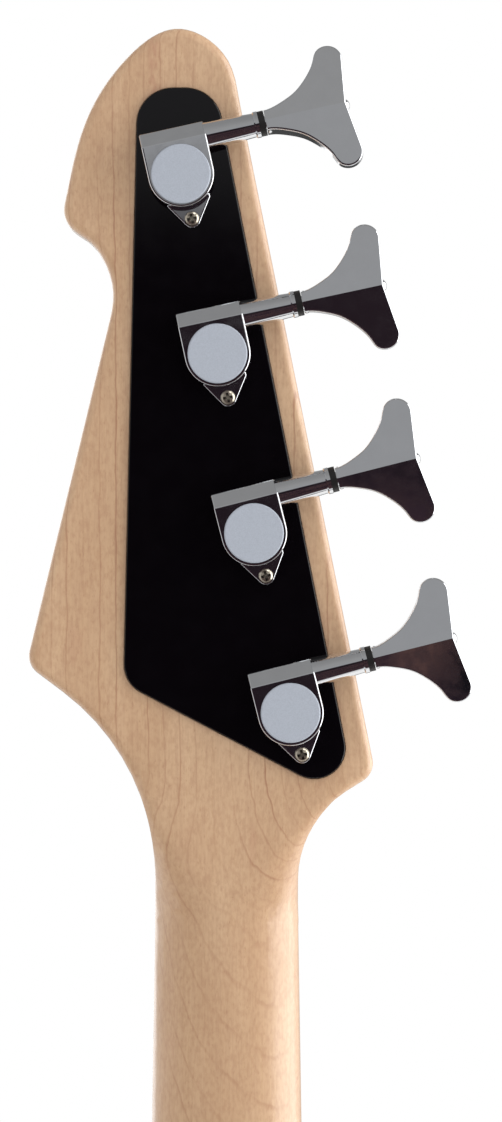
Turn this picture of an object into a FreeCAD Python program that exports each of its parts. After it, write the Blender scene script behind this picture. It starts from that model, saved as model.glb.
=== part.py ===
import FreeCAD, Part
import math
import os
from types import SimpleNamespace

import Sketcher
from FreeCAD import Placement, Rotation, Vector

# A four-string electric bass guitar, held upright by its headstock.
# Millimetres. The origin is on the neck's centre line, at the nut's fretboard face, on the playing surface.
# +Z runs up the neck to the headstock's tip, -Y is the front (string) side and +Y the back.
# Seen from behind, the right-hand side is -X: there "u" stands for -X and "v" for Z.

DRIVING_SIZES = {
    # strings and neck
    "scale_length": 864.0,
    "fret_count": 24,
    "nut_width": 40.8,
    "heel_width": 62.1,
    "fretboard_length": 658.0,
    "fretboard_thickness": 6.0,
    "fretboard_radius": 305.0,
    "fret_height": 1.1,
    "fret_width": 2.4,
    "fret_tang": 1.6,
    "fret_tang_width": 0.6,
    "fret_inset": 0.6,
    "marker_radius": 3.0,
    "marker_depth": 1.5,
    "side_marker_radius": 1.0,
    "neck_depth_at_nut": 21.0,
    "neck_depth_at_body": 23.5,
    "heel_depth": 25.0,
    "heel_length": 72.0,
    "nut_thickness": 4.5,
    "nut_height": 2.3,
    "string_spacing_nut": 10.0,
    "string_spacing_bridge": 19.0,
    "string_height_nut": 1.5,
    "string_height_bridge": 5.3,
    "string_e_radius": 1.33,
    "string_a_radius": 1.08,
    "string_d_radius": 0.83,
    "string_g_radius": 0.57,
    "winding_turns": 2.25,
    "winding_gap": 1.3,
    # headstock
    "headstock_drop": 9.0,
    "headstock_thickness": 15.0,
    "headstock_edge_round": 2.5,
    "plate_thickness": 2.5,
    "plate_recess": 1.0,
    "plate_edge_round": 0.45,
    "plate_gap": 0.25,
    # tuning machines
    "tuner_pitch": 51.5,
    "tuner_tilt": 11.5,
    "tuner_first_u": 18.1,
    "tuner_first_v": 52.1,
    "housing_half_width": 9.3,
    "housing_top": 13.4,
    "housing_round": 9.3,
    "housing_height": 9.0,
    "housing_bevel": 2.8,
    "housing_edge_round": 0.55,
    "ear_reach": 12.5,
    "ear_round": 2.5,
    "ear_shift": 0.3,
    "ear_thickness": 1.8,
    "ear_edge_round": 0.5,
    "worm_offset": 9.2,
    "worm_height": 4.6,
    "worm_root_radius": 2.1,
    "worm_tip_radius": 3.0,
    "worm_clearance": 0.35,
    "gear_teeth": 20,
    "gear_pitch_radius": 6.5,
    "gear_tip_radius": 6.8,
    "gear_root_radius": 5.9,
    "gear_width": 3.0,
    "tube_root_radius": 4.15,
    "tube_radius": 3.4,
    "tube_reach": 23.1,
    "collar_step": 0.35,
    "collar_length": 1.4,
    "collar_edge_round": 0.35,
    "washer_thickness": 1.8,
    "shaft_radius": 2.0,
    "key_reach": 49.6,
    "key_wing": 17.9,
    "key_neck": 2.9,
    "key_bead_radius": 3.25,
    "key_bead_length": 1.3,
    "key_ridge": 3.3,
    "key_rim": 1.5,
    "key_tip_round": 4.2,
    "key_edge_round": 0.55,
    "shaft_end_reach": 1.1,
    "cover_radius": 8.4,
    "cover_thickness": 1.2,
    "cover_proud": 0.4,
    "post_radius": 5.0,
    "post_waist_radius": 4.5,
    "post_rise": 16.0,
    "post_slot": 3.0,
    "bushing_radius": 6.5,
    "bushing_flange_radius": 8.5,
    "bushing_flange": 1.6,
    "bushing_depth": 8.0,
    "running_gap": 0.08,
    # truss rod
    "truss_rod_radius": 3.0,
    "truss_rod_depth": 14.0,
    "truss_nut_radius": 4.4,
    "truss_nut_length": 12.0,
    "truss_cover_length": 36.0,
    "truss_cover_width": 20.0,
    "truss_cover_thickness": 1.8,
    # string tree
    "tree_height": 48.0,
    "tree_radius": 7.5,
    "tree_post_radius": 3.0,
    "tree_disc": 2.4,
    # body
    "body_top": 10.0,
    "body_thickness": 42.0,
    "body_edge_round": 8.0,
    "body_length": 505.0,
    "body_width": 328.0,
    "body_tail": 95.0,
    "neck_plate_side": 50.0,
    "neck_plate_thickness": 2.0,
    "neck_plate_corner": 6.0,
    "neck_screw_spacing": 36.0,
    "neck_screw_radius": 2.2,
    "neck_screw_head": 4.2,
    "neck_screw_length": 40.0,
    # bridge
    "bridge_width": 82.0,
    "bridge_front": 18.0,
    "bridge_back": 40.0,
    "bridge_plate": 2.5,
    "bridge_wall": 3.0,
    "bridge_wall_height": 14.0,
    "string_hole_radius": 2.3,
    "string_hole_height": 6.0,
    "saddle_width": 17.0,
    "saddle_length": 13.0,
    "saddle_lift": 2.0,
    "saddle_travel": 8.0,
    "intonation_radius": 1.5,
    "intonation_shift": 3.8,
    "intonation_height": 10.9,
    "intonation_head": 2.7,
    "grub_radius": 1.0,
    "grub_spacing": 14.0,
    # pickups
    "neck_pickup_place": 178.0,
    "bridge_pickup_place": 66.0,
    "pickup_length": 92.0,
    "pickup_width": 19.0,
    "pickup_rise": 9.5,
    "pickup_wall": 1.5,
    "pickup_depth": 11.0,
    "pickup_ear_length": 110.0,
    "pickup_ear_width": 12.0,
    "pickup_ear_thickness": 2.5,
    "pole_radius": 2.4,
    "pole_pair_spacing": 9.0,
    "pole_proud": 0.7,
    "cavity_gap": 1.0,
    # controls and jack
    "control_first_x": 86.0,
    "control_first_drop": 86.0,
    "control_tilt": 15.0,
    "control_spacing": 40.0,
    "control_plate_width": 40.0,
    "control_plate_thickness": 1.5,
    "control_cavity_margin": 6.0,
    "control_cavity_depth": 34.0,
    "knob_radius": 9.5,
    "knob_height": 16.0,
    "knob_gap": 0.8,
    "pot_radius": 12.0,
    "pot_height": 10.0,
    "pot_bushing_radius": 4.7,
    "pot_shaft_radius": 3.0,
    "pot_shaft_length": 13.0,
    "pot_nut_radius": 6.5,
    "pot_nut_height": 2.2,
    "jack_bore_radius": 3.25,
    "jack_barrel_radius": 4.7,
    "jack_nut_radius": 7.0,
    "jack_length": 24.0,
    # strap buttons and screws
    "strap_button_radius": 8.0,
    "strap_button_waist": 4.0,
    "strap_button_height": 12.0,
    "strap_screw_radius": 2.0,
    "wood_screw_radius": 1.4,
    "wood_screw_head": 2.1,
    "wood_screw_head_height": 1.5,
    "wood_screw_length": 13.0,
    "fit_gap": 0.05,
}

STRING_NAMES = ("E", "A", "D", "G")
MARKED_FRETS = (3, 5, 7, 9, 12, 15, 17, 19, 21, 24)
DOUBLE_MARKED_FRETS = (12, 24)
# Key angles at rest, in degrees: the one nearest the tip was left turned a little.
KEY_REST_ANGLES = {"E": 0.0, "A": 0.0, "D": 0.0, "G": -11.0}
# How far each tuner is turned from the line of the row, in degrees.
TUNER_TURNS = {"E": 2.6, "A": 2.7, "D": 0.6, "G": 1.0}

doc = FreeCAD.newDocument("electric_bass")
sheet = doc.addObject("Spreadsheet::Sheet", "dims")


class Size:
    """A length with its spreadsheet formula, so that code and bound properties share one value."""

    def __init__(self, formula, value):
        self.formula = formula
        self.value = float(value)

    def __float__(self):
        return self.value

    def _with(self, other, sign, value, swap=False):
        first, second = (as_size(other), self) if swap else (self, as_size(other))
        return Size(f"({first.formula} {sign} {second.formula})", value)

    def __add__(self, other):
        return self._with(other, "+", self.value + float(other))

    def __radd__(self, other):
        return self._with(other, "+", float(other) + self.value, swap=True)

    def __sub__(self, other):
        return self._with(other, "-", self.value - float(other))

    def __rsub__(self, other):
        return self._with(other, "-", float(other) - self.value, swap=True)

    def __mul__(self, other):
        return self._with(other, "*", self.value * float(other))

    def __rmul__(self, other):
        return self._with(other, "*", float(other) * self.value, swap=True)

    def __truediv__(self, other):
        return self._with(other, "/", self.value / float(other))

    def __neg__(self):
        return 0 - self


def as_size(value):
    """A plain number or a Size as a Size."""
    return value if isinstance(value, Size) else Size(repr(float(value)), value)


def fill_sheet():
    """Writes the driving sizes into the spreadsheet and returns them by name."""
    for row, (alias, value) in enumerate(DRIVING_SIZES.items(), start=1):
        sheet.set(f"A{row}", alias)
        sheet.set(f"B{row}", str(value))
        sheet.setAlias(f"B{row}", alias)
    doc.recompute()
    return SimpleNamespace(**{a: Size(f"dims.{a}", sheet.get(a)) for a in DRIVING_SIZES})


D = fill_sheet()
PIECES = {}


# Placements

FRONT_TURN = Rotation(Vector(1, 0, 0), 90)  # local x, y, z become X, Z, -Y
BACK_TURN = Rotation(Vector(0, 0, 1), 180).multiply(FRONT_TURN)  # local x, y, z become -X, Z, Y


def vec(x, y, z):
    """A vector from sizes or numbers."""
    return Vector(float(x), float(y), float(z))


def along(base, axis):
    """Placement whose local z runs along axis from base."""
    return Placement(base, Rotation(Vector(0, 0, 1), axis))


def facing_front(x, z, y, turn=0.0):
    """Placement on a front-facing surface: local x is X, local y is up the neck, local z leaves the front."""
    spin = Rotation(Vector(0, 0, 1), float(turn))
    return Placement(vec(x, y, z), FRONT_TURN.multiply(spin))


def facing_back(u, v, y, turn=0.0):
    """Placement on a back-facing surface: local x is to the right from behind, local z leaves the back."""
    spin = Rotation(Vector(0, 0, 1), float(turn))
    return Placement(vec(-as_size(u), y, v), BACK_TURN.multiply(spin))


def inside(frame, x=0, y=0, z=0, axis=None):
    """Placement at local x, y, z of a frame, with its own local z along axis where one is given."""
    turn = Rotation(Vector(0, 0, 1), axis) if axis else Rotation()
    return frame.multiply(Placement(vec(x, y, z), turn))


# Building blocks

def solid(kind, name, placement, **sizes):
    """A Part primitive with its sizes bound to the sheet."""
    item = doc.addObject("Part::" + kind, name)
    for prop, value in sizes.items():
        item.setExpression(prop, as_size(value).formula)
    item.Placement = placement
    return item


def rod(name, placement, radius, length):
    """A cylinder along the placement's local z."""
    return solid("Cylinder", name, placement, Radius=radius, Height=length)


def block(name, frame, width, depth, height, x=0, y=0, z=0):
    """A box centred on local x and y of a frame, standing on local z."""
    corner = inside(frame, as_size(x) - as_size(width) / 2, as_size(y) - as_size(depth) / 2, z)
    return solid("Box", name, corner, Length=width, Width=depth, Height=height)


def feature(name, shape):
    """A document object that holds a shape made in code."""
    item = doc.addObject("Part::Feature", name)
    item.Shape = shape
    return item


def joined(name, items):
    """The union of several objects."""
    item = doc.addObject("Part::MultiFuse", name)
    item.Shapes = list(items)
    item.Refine = True
    return item


def cut(name, base, tools):
    """A base with tools removed."""
    item = doc.addObject("Part::Cut", name)
    item.Base = base
    item.Tool = tools[0] if len(tools) == 1 else joined(name + "_tools", tools)
    return item


def shared(name, first, second):
    """What two objects have in common."""
    item = doc.addObject("Part::MultiCommon", name)
    item.Shapes = [first, second]
    return item


def group(name, items):
    """Several separate solids in one object."""
    item = doc.addObject("Part::Compound", name)
    item.Links = list(items)
    return item


def piece(label, item):
    """Registers an object as a sub-part of the bass."""
    item.Label = label
    PIECES[label] = item
    return item


def origin_plane(body, role):
    """One of a body's own origin planes."""
    return next(f for f in body.Origin.OriginFeatures if f.Role == role)


def new_body(name, placement):
    """An empty PartDesign body at a placement."""
    body = doc.addObject("PartDesign::Body", name)
    body.Placement = placement
    return body


def pin_point(sketch, index, x, y):
    """Ties a line's start point to sizes measured from the sketch's origin."""
    for kind, value, axis in (("DistanceX", x, -2), ("DistanceY", y, -1)):
        value = as_size(value)
        if abs(value.value) < 1e-9:
            sketch.addConstraint(Sketcher.Constraint("PointOnObject", index, 1, axis))
            continue
        ends = (-1, 1, index, 1) if value.value > 0 else (index, 1, -1, 1)
        bound = value if value.value > 0 else -value
        number = sketch.addConstraint(Sketcher.Constraint(kind, *ends, bound.value))
        sketch.setExpression(f"Constraints[{number}]", bound.formula)


def outline_sketch(body, name, points, role="XY_Plane"):
    """A closed polygon sketch whose corners are bound to sizes."""
    sketch = body.newObject("Sketcher::SketchObject", name)
    sketch.AttachmentSupport = (origin_plane(body, role), [""])
    sketch.MapMode = "FlatFace"
    places = [vec(x, y, 0) for x, y in points]
    for start, end in zip(places, places[1:] + places[:1]):
        sketch.addGeometry(Part.LineSegment(start, end), False)
    for index in range(len(points)):
        after = (index + 1) % len(points)
        sketch.addConstraint(Sketcher.Constraint("Coincident", index, 2, after, 1))
    for index, (x, y) in enumerate(points):
        pin_point(sketch, index, x, y)
    return sketch


def padded(name, placement, points, height, both_sides=False):
    """A PartDesign body: a polygon padded to a height."""
    body = new_body(name, placement)
    pad = body.newObject("PartDesign::Pad", name + "_pad")
    pad.Profile = outline_sketch(body, name + "_outline", points)
    pad.setExpression("Length", as_size(height).formula)
    pad.Midplane = both_sides
    return body


def turned(name, placement, points):
    """A PartDesign body turned about its local z: points are radius and height."""
    body = new_body(name, placement)
    turn = body.newObject("PartDesign::Revolution", name + "_turning")
    sketch = outline_sketch(body, name + "_section", points, "XZ_Plane")
    turn.Profile = sketch
    turn.ReferenceAxis = (sketch, ["V_Axis"])
    turn.Angle = 360
    return body


def rounded_corners(body, radius, picks):
    """Fillets those edges of a body's tip that a test picks."""
    doc.recompute()
    tip = body.Tip
    names = [f"Edge{n}" for n, e in enumerate(tip.Shape.Edges, start=1) if picks(e)]
    fillet = body.newObject("PartDesign::Fillet", body.Name + "_round")
    fillet.Base = (tip, names)
    fillet.setExpression("Radius", as_size(radius).formula)
    return body


def is_upright(edge):
    """True for a straight edge along the body's local z."""
    first, last = edge.Vertexes[0].Point, edge.Vertexes[-1].Point
    return abs(first.z - last.z) > 1e-3 and math.hypot(first.x - last.x, first.y - last.y) < 1e-6


# Plane curves

def rounded_polygon(points, radii):
    """A closed wire through x, y points whose corners have arcs of the given radii."""
    count = len(points)
    corners = [Vector(float(x), float(y), 0) for x, y in points]
    arcs = [corner_arc(corners[i - 1], corners[i], corners[(i + 1) % count], float(radii[i]))
            for i in range(count)]
    edges = []
    for index, (start, middle, end) in enumerate(arcs):
        edges.append(Part.Arc(start, middle, end).toShape())
        edges.append(Part.makeLine(end, arcs[(index + 1) % count][0]))
    return Part.Wire(edges)


def corner_arc(before, corner, after, radius):
    """Start, middle and end of the arc that rounds a corner."""
    to_before = (before - corner).normalize()
    to_after = (after - corner).normalize()
    half = to_before.getAngle(to_after) / 2
    run = radius / math.tan(half)
    inward = (to_before + to_after).normalize()
    centre = corner + inward * (radius / math.sin(half))
    return corner + to_before * run, centre - inward * radius, corner + to_after * run


def spline_through(points, first_run, last_run):
    """An edge through points that leaves and arrives along the given directions."""
    lengths = [0.0]
    for start, end in zip(points, points[1:]):
        lengths.append(lengths[-1] + (end - start).Length)
    curve = Part.BSplineCurve()
    curve.interpolate(Points=points, Parameters=lengths, InitialTangent=Vector(first_run).normalize(),
                      FinalTangent=Vector(last_run).normalize(), Scale=False)
    return curve.toShape()


def prism(wire, height):
    """A flat closed wire in local x, y pushed along local z."""
    return Part.Face(wire).extrude(Vector(0, 0, float(height)))


def placed(shape, placement):
    """A shape moved to a placement."""
    moved = shape.copy()
    moved.Placement = placement.multiply(shape.Placement)
    return moved


# Neck and headstock outline, seen from behind: u to the right, v up from the nut

KEY_SIDE_HOLLOW = 30.5  # radius of the hollow between the neck and the key-side shoulder
KEY_SIDE_START = 4.0
KEY_SIDE_SWEEP = 58.0
FAR_SIDE_HOLLOW = 65.0  # radius of the longer hollow on the other side
FAR_SIDE_START = 5.6
FAR_SIDE_SWEEP = 53.0
KEY_EDGE_FOOT = (41.3, 39.4)  # the straight edges run from these points up to the ends of the crown
FAR_EDGE_FOOT = (-54.9, 73.5)
SHOULDER_ROUND = 6.0
# The crown of the headstock, from the key side over the tip to the beak and down to the far edge.
CROWN = [(4.1, 223.3), (0.4, 236.9), (-13.7, 245.8), (-28.8, 236.9), (-39.8, 219.9), (-45.6, 198.0),
         (-46.0, 193.0), (-43.8, 189.0), (-39.3, 185.8), (-34.3, 179.0), (-32.2, 171.0), (-33.2, 163.0)]
PLATE_CORNERS = [(-25.35, 228.9), (-2.94, 228.9), (37.35, 25.24), (-29.28, 60.04)]
PLATE_ROUNDS = [10.5, 10.5, 9.0, 9.0]
BLEND_TOP = 28.0  # where the neck's blend ends and the flat headstock begins
BLEND_FOOT = -10.0
SHELF_END = 5.2  # the nut's shelf, before the step down to the headstock's face
SHELF_STEP_ROUND = 2.0
HEADSTOCK_FRONT_ROUND = 1.2
BACK_FLAT = 1.0  # half the flat along the middle of the neck's back
NECK_SIDE = 1.5  # straight side under the fretboard

headstock_back = D.headstock_drop + D.headstock_thickness
plate_top = headstock_back - D.plate_recess + D.plate_thickness
heel_start = D.heel_length - D.fretboard_length
blend_to_heel = heel_start + 16


def hollow_point(side, v):
    """Half width of the neck's blend at height v on the key side (1) or the far side (-1)."""
    radius, start = ((KEY_SIDE_HOLLOW, KEY_SIDE_START) if side > 0 else (FAR_SIDE_HOLLOW, FAR_SIDE_START))
    rise = max(0.0, v - start)
    return D.nut_width.value / 2 + radius - math.sqrt(radius ** 2 - rise ** 2)


def neck_half_width(z):
    """Half width of the neck below the nut."""
    taper = (D.heel_width.value - D.nut_width.value) / D.fretboard_length.value
    return (D.nut_width.value + taper * max(0.0, -z)) / 2


def eased(share):
    """Smooth step from 0 to 1."""
    share = min(1.0, max(0.0, share))
    return share * share * (3 - 2 * share)


def neck_section(z, key_half, far_half, back, key_round, far_round, depth_round):
    """Cross-section of the neck: flat front, straight sides, elliptical shoulders and a flat back."""
    front = D.fretboard_thickness.value
    left, right = -key_half, far_half
    corners = [Vector(left, front, z), Vector(right, front, z), Vector(right, back - depth_round, z),
               Vector(right - far_round, back, z), Vector(left + key_round, back, z),
               Vector(left, back - depth_round, z)]
    edges = [Part.makeLine(corners[0], corners[1]), Part.makeLine(corners[1], corners[2]),
             quarter(corners[2], Vector(right, back, z), corners[3]), Part.makeLine(corners[3], corners[4]),
             quarter(corners[4], Vector(left, back, z), corners[5]), Part.makeLine(corners[5], corners[0])]
    return Part.Wire(edges)


def quarter(start, corner, end):
    """A quarter of an ellipse that turns a corner."""
    curve = Part.BezierCurve()
    curve.setPoles([start, corner, end])
    curve.setWeight(2, math.sqrt(0.5))
    return curve.toShape()


def shaft_section(z):
    """Cross-section of the neck's playing part."""
    half = neck_half_width(z)
    share = (z - BLEND_FOOT) / (blend_to_heel.value - BLEND_FOOT)
    back = D.neck_depth_at_nut.value + (D.neck_depth_at_body.value - D.neck_depth_at_nut.value) * share
    depth_round = back - D.fretboard_thickness.value - NECK_SIDE
    return neck_section(z, half, half, back, half - BACK_FLAT, half - BACK_FLAT, depth_round)


def blend_section(z):
    """Cross-section between the neck's rounded back and the flat back of the headstock."""
    key_half = hollow_point(1, z) if z > 0 else neck_half_width(z)
    far_half = hollow_point(-1, z) if z > 0 else neck_half_width(z)
    base = D.neck_depth_at_nut.value
    back = base + (headstock_back.value - base) * eased((z - BLEND_FOOT) / 22.0)
    squareness = eased((z - BLEND_FOOT) / (BLEND_TOP - BLEND_FOOT - 4.0))
    edge = D.headstock_edge_round.value
    key_edge = edge / math.cos(math.asin(min(0.9, max(0.0, z - KEY_SIDE_START) / KEY_SIDE_HOLLOW)))
    far_edge = edge / math.cos(math.asin(min(0.9, max(0.0, z - FAR_SIDE_START) / FAR_SIDE_HOLLOW)))
    key_round = (key_half - BACK_FLAT) * (1 - squareness) + key_edge * squareness
    far_round = (far_half - BACK_FLAT) * (1 - squareness) + far_edge * squareness
    depth = (base - D.fretboard_thickness.value - NECK_SIDE) * (1 - squareness) + edge * squareness
    return neck_section(z, key_half, far_half, back, key_round, far_round, depth)


def blend_end(slab):
    """The blend's last cross-section: the slab's own end, carried forward to the nut's shelf."""
    end = min(slab.Faces, key=lambda f: f.CenterOfMass.z + (1000 if f.BoundBox.ZLength > 1e-4 else 0))
    front, low = D.fretboard_thickness.value, D.headstock_drop.value + HEADSTOCK_FRONT_ROUND + 0.1
    backs = [e for e in end.Edges if e.BoundBox.YMin > low]
    corners = [e for e in backs if e.BoundBox.YLength > 1e-3]
    rear = [e for e in backs if e.BoundBox.YLength <= 1e-3][0]
    left = min(corners, key=lambda e: e.BoundBox.XMin)
    right = max(corners, key=lambda e: e.BoundBox.XMax)
    foot_left = min(left.Vertexes, key=lambda v: v.Y).Point
    foot_right = min(right.Vertexes, key=lambda v: v.Y).Point
    tip_left, tip_right = Vector(foot_left.x, front, foot_left.z), Vector(foot_right.x, front, foot_right.z)
    edges = [Part.makeLine(tip_left, tip_right), Part.makeLine(tip_right, foot_right), right, rear, left,
             Part.makeLine(foot_left, tip_left)]
    return Part.Wire(Part.__sortEdges__(edges))


def heel_section(z, share):
    """Cross-section between the playing part and the square heel."""
    half = neck_half_width(z)
    back = D.neck_depth_at_body.value + (D.heel_depth.value - D.neck_depth_at_body.value) * share
    corner = 2.0
    side = (half - BACK_FLAT) * (1 - share) + corner * share
    full = D.neck_depth_at_body.value - D.fretboard_thickness.value - NECK_SIDE
    return neck_section(z, half, half, back, side, side, full * (1 - share) + corner * share)


def headstock_slab():
    """The flat headstock above the blend, with its edges rounded."""
    key_end = hollow_end(1)
    far_end = hollow_end(-1)
    key_low = Vector(hollow_point(1, BLEND_TOP), BLEND_TOP, 0)
    far_low = Vector(-hollow_point(-1, BLEND_TOP), BLEND_TOP, 0)
    crown = [Vector(u, v, 0) for u, v in CROWN]
    key_corner = shoulder(1, Vector(*KEY_EDGE_FOOT, 0), crown[0])
    far_corner = shoulder(-1, Vector(*FAR_EDGE_FOOT, 0), crown[-1])
    key_arc = corner_arc(key_end, key_corner, crown[0], SHOULDER_ROUND)
    far_arc = corner_arc(crown[-1], far_corner, far_end, SHOULDER_ROUND)
    spline = spline_through(crown, crown[0] - key_arc[2], far_arc[0] - crown[-1])
    edges = [hollow_edge(1, key_low, key_end), Part.makeLine(key_end, key_arc[0]), Part.Arc(*key_arc).toShape(),
             Part.makeLine(key_arc[2], crown[0]), spline, Part.makeLine(crown[-1], far_arc[0]),
             Part.Arc(*far_arc).toShape(), Part.makeLine(far_arc[2], far_end), hollow_edge(-1, far_end, far_low),
             Part.makeLine(far_low, key_low)]
    slab = prism(Part.Wire(edges), D.headstock_thickness)
    backs = outline_edges(slab, D.headstock_thickness.value)
    slab = slab.makeFillet(D.headstock_edge_round.value, backs)
    slab = slab.makeFillet(HEADSTOCK_FRONT_ROUND, outline_edges(slab, 0.0))
    return placed(slab, facing_back(0, 0, D.headstock_drop))


def outline_edges(slab, height):
    """Edges of a slab's outline at a height, apart from the one where it joins the neck."""
    chosen = []
    for edge in slab.Edges:
        box = edge.BoundBox
        level = abs(box.ZMin - height) < 1e-4 and abs(box.ZMax - height) < 1e-4
        if level and box.YMax > BLEND_TOP + 1e-3:
            chosen.append(edge)
    return chosen


def hollow_end(side):
    """Upper end of a hollow, where it runs straight to the shoulder."""
    radius, start, sweep = ((KEY_SIDE_HOLLOW, KEY_SIDE_START, KEY_SIDE_SWEEP) if side > 0
                            else (FAR_SIDE_HOLLOW, FAR_SIDE_START, FAR_SIDE_SWEEP))
    angle = math.radians(sweep)
    u = D.nut_width.value / 2 + radius * (1 - math.cos(angle))
    return Vector(side * u, start + radius * math.sin(angle), 0)


def shoulder(side, foot, top):
    """Corner where a hollow's straight end meets the headstock's straight edge through two points."""
    sweep = math.radians(KEY_SIDE_SWEEP if side > 0 else FAR_SIDE_SWEEP)
    run = Vector(side * math.sin(sweep), math.cos(sweep), 0)
    rise = (top - foot).normalize()
    start = hollow_end(side)
    gap = foot - start
    reach = (gap.x * rise.y - gap.y * rise.x) / (run.x * rise.y - run.y * rise.x)
    return start + run * reach


def hollow_edge(side, first, last):
    """Arc of a hollow between two of its points."""
    middle_v = (first.y + last.y) / 2
    middle = Vector(side * hollow_point(side, middle_v), middle_v, 0)
    return Part.Arc(first, middle, last).toShape()


def neck_blank():
    """The neck in one piece of wood, before its holes are made."""
    foot, heel_top = BLEND_FOOT, heel_start.value
    shaft = Part.makeLoft([shaft_section(foot), shaft_section(blend_to_heel.value)], True, True)
    steps = [foot + (BLEND_TOP - foot) * n / 9 for n in range(10)]
    slab = headstock_slab()
    blend = Part.makeLoft([blend_section(z) for z in steps[:-1]] + [blend_end(slab)], True, False)
    below = [blend_to_heel.value + (heel_top - blend_to_heel.value) * n / 4 for n in range(5)]
    turn = Part.makeLoft([heel_section(z, eased(n / 4)) for n, z in enumerate(below)], True, False)
    heel_end = -D.fretboard_length.value
    heel = Part.makeLoft([heel_section(heel_top, 1.0), heel_section(heel_end, 1.0)], True, True)
    face_drop = D.headstock_drop.value - D.fretboard_thickness.value
    step = Part.makeBox(200, face_drop + 10, BLEND_TOP - SHELF_END + 5,
                        Vector(-100, D.fretboard_thickness.value - 10, SHELF_END))
    inner = [e for e in step.Edges if abs(e.BoundBox.YMin - D.headstock_drop.value) < 1e-6
             and abs(e.BoundBox.ZMax - SHELF_END) < 1e-6]
    step = step.makeFillet(SHELF_STEP_ROUND, inner)
    blend = blend.cut(step)
    return shaft.multiFuse([blend, turn, heel, slab]).removeSplitter()


# Where the strings and tuners are

TUNER_STEP = Rotation(Vector(0, 0, 1), D.tuner_tilt.value).multVec(Vector(0, D.tuner_pitch.value, 0))
SADDLE_COMPENSATION = {"E": 5.0, "A": 3.6, "D": 2.4, "G": 1.4}
STRING_RADII = {"E": D.string_e_radius, "A": D.string_a_radius, "D": D.string_d_radius, "G": D.string_g_radius}
TREE_STRINGS = ("D", "G")


def string_index(name):
    """Place of a string counted from the middle of the set."""
    return STRING_NAMES.index(name) - (len(STRING_NAMES) - 1) / 2


def tuner_place(name):
    """u and v of a tuner's post."""
    step = STRING_NAMES.index(name)
    return D.tuner_first_u.value + TUNER_STEP.x * step, D.tuner_first_v.value + TUNER_STEP.y * step


def tuner_frame(name):
    """Frame of a tuner: local x runs to its key, local y up along the edge, local z out of the back."""
    u, v = tuner_place(name)
    return facing_back(u, v, plate_top, D.tuner_tilt + TUNER_TURNS[name])


def saddle_z(name):
    """Height of a saddle's crest on the bridge, counted from the nut."""
    return -(D.scale_length.value + SADDLE_COMPENSATION[name])


TUNER_FRAMES = {name: tuner_frame(name) for name in STRING_NAMES}
POINTING_S = Vector(1, 0, 0)


def along_worm(frame, s, turn=0.0):
    """Placement on a tuner's worm axis, with local z along the axis towards the key."""
    base = Placement(vec(s, D.worm_offset, D.worm_height), Rotation(Vector(0, 0, 1), POINTING_S))
    return frame.multiply(base).multiply(Placement(Vector(), Rotation(Vector(0, 0, 1), turn)))


# Headstock: neck, plate and truss rod

def phillips(name, frame, z, reach, depth):
    """A cross-shaped recess in a screw head, as a cutting tool."""
    slim = as_size(reach) * 0.26
    plans = ((reach, slim), (slim, reach))
    bars = [block(f"{name}_{n}", frame, w, d, depth, z=z) for n, (w, d) in enumerate(plans)]
    return joined(name, bars)


def wood_screw(name, frame, z=0, length=None, recess=True):
    """A domed cross-head screw whose head sits on local z of a frame."""
    head = turned(name + "_turned", inside(frame, 0, 0, as_size(z) - (length or D.wood_screw_length)), [
        (0, 0), (D.wood_screw_radius, D.wood_screw_radius * 1.6),
        (D.wood_screw_radius, length or D.wood_screw_length),
        (D.wood_screw_head, length or D.wood_screw_length),
        (D.wood_screw_head, (length or D.wood_screw_length) + D.wood_screw_head_height * 0.35),
        (D.wood_screw_head * 0.9, (length or D.wood_screw_length) + D.wood_screw_head_height * 0.68),
        (D.wood_screw_head * 0.7, (length or D.wood_screw_length) + D.wood_screw_head_height * 0.89),
        (D.wood_screw_head * 0.4, (length or D.wood_screw_length) + D.wood_screw_head_height),
        (0, (length or D.wood_screw_length) + D.wood_screw_head_height)])
    if not recess:
        return head
    floor = as_size(z) + D.wood_screw_head_height * 0.5
    tool = phillips(name + "_cross", frame, floor, D.wood_screw_head * 1.3, D.wood_screw_head_height)
    return cut(name, head, [tool])


def wood_screw_hole(name, frame, z=0, length=None):
    """The hole that a wood screw fills, open at local z."""
    depth = (length or D.wood_screw_length) + 1.0
    return rod(name, inside(frame, 0, 0, as_size(z) - depth), D.wood_screw_radius + D.fit_gap, depth)


def plate_shape(inset, thickness, top_round=0.0):
    """The kite-shaped plate on the headstock's back, or the recess that it lies in."""
    wire = rounded_polygon(PLATE_CORNERS, PLATE_ROUNDS)
    if float(inset) > 0:
        wire = wire.makeOffset2D(-float(inset))
    shape = prism(wire, thickness)
    if top_round:
        rims = [e for e in shape.Edges if abs(e.BoundBox.ZMin - float(thickness)) < 1e-4]
        shape = shape.makeFillet(float(top_round), rims)
    return shape


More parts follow.
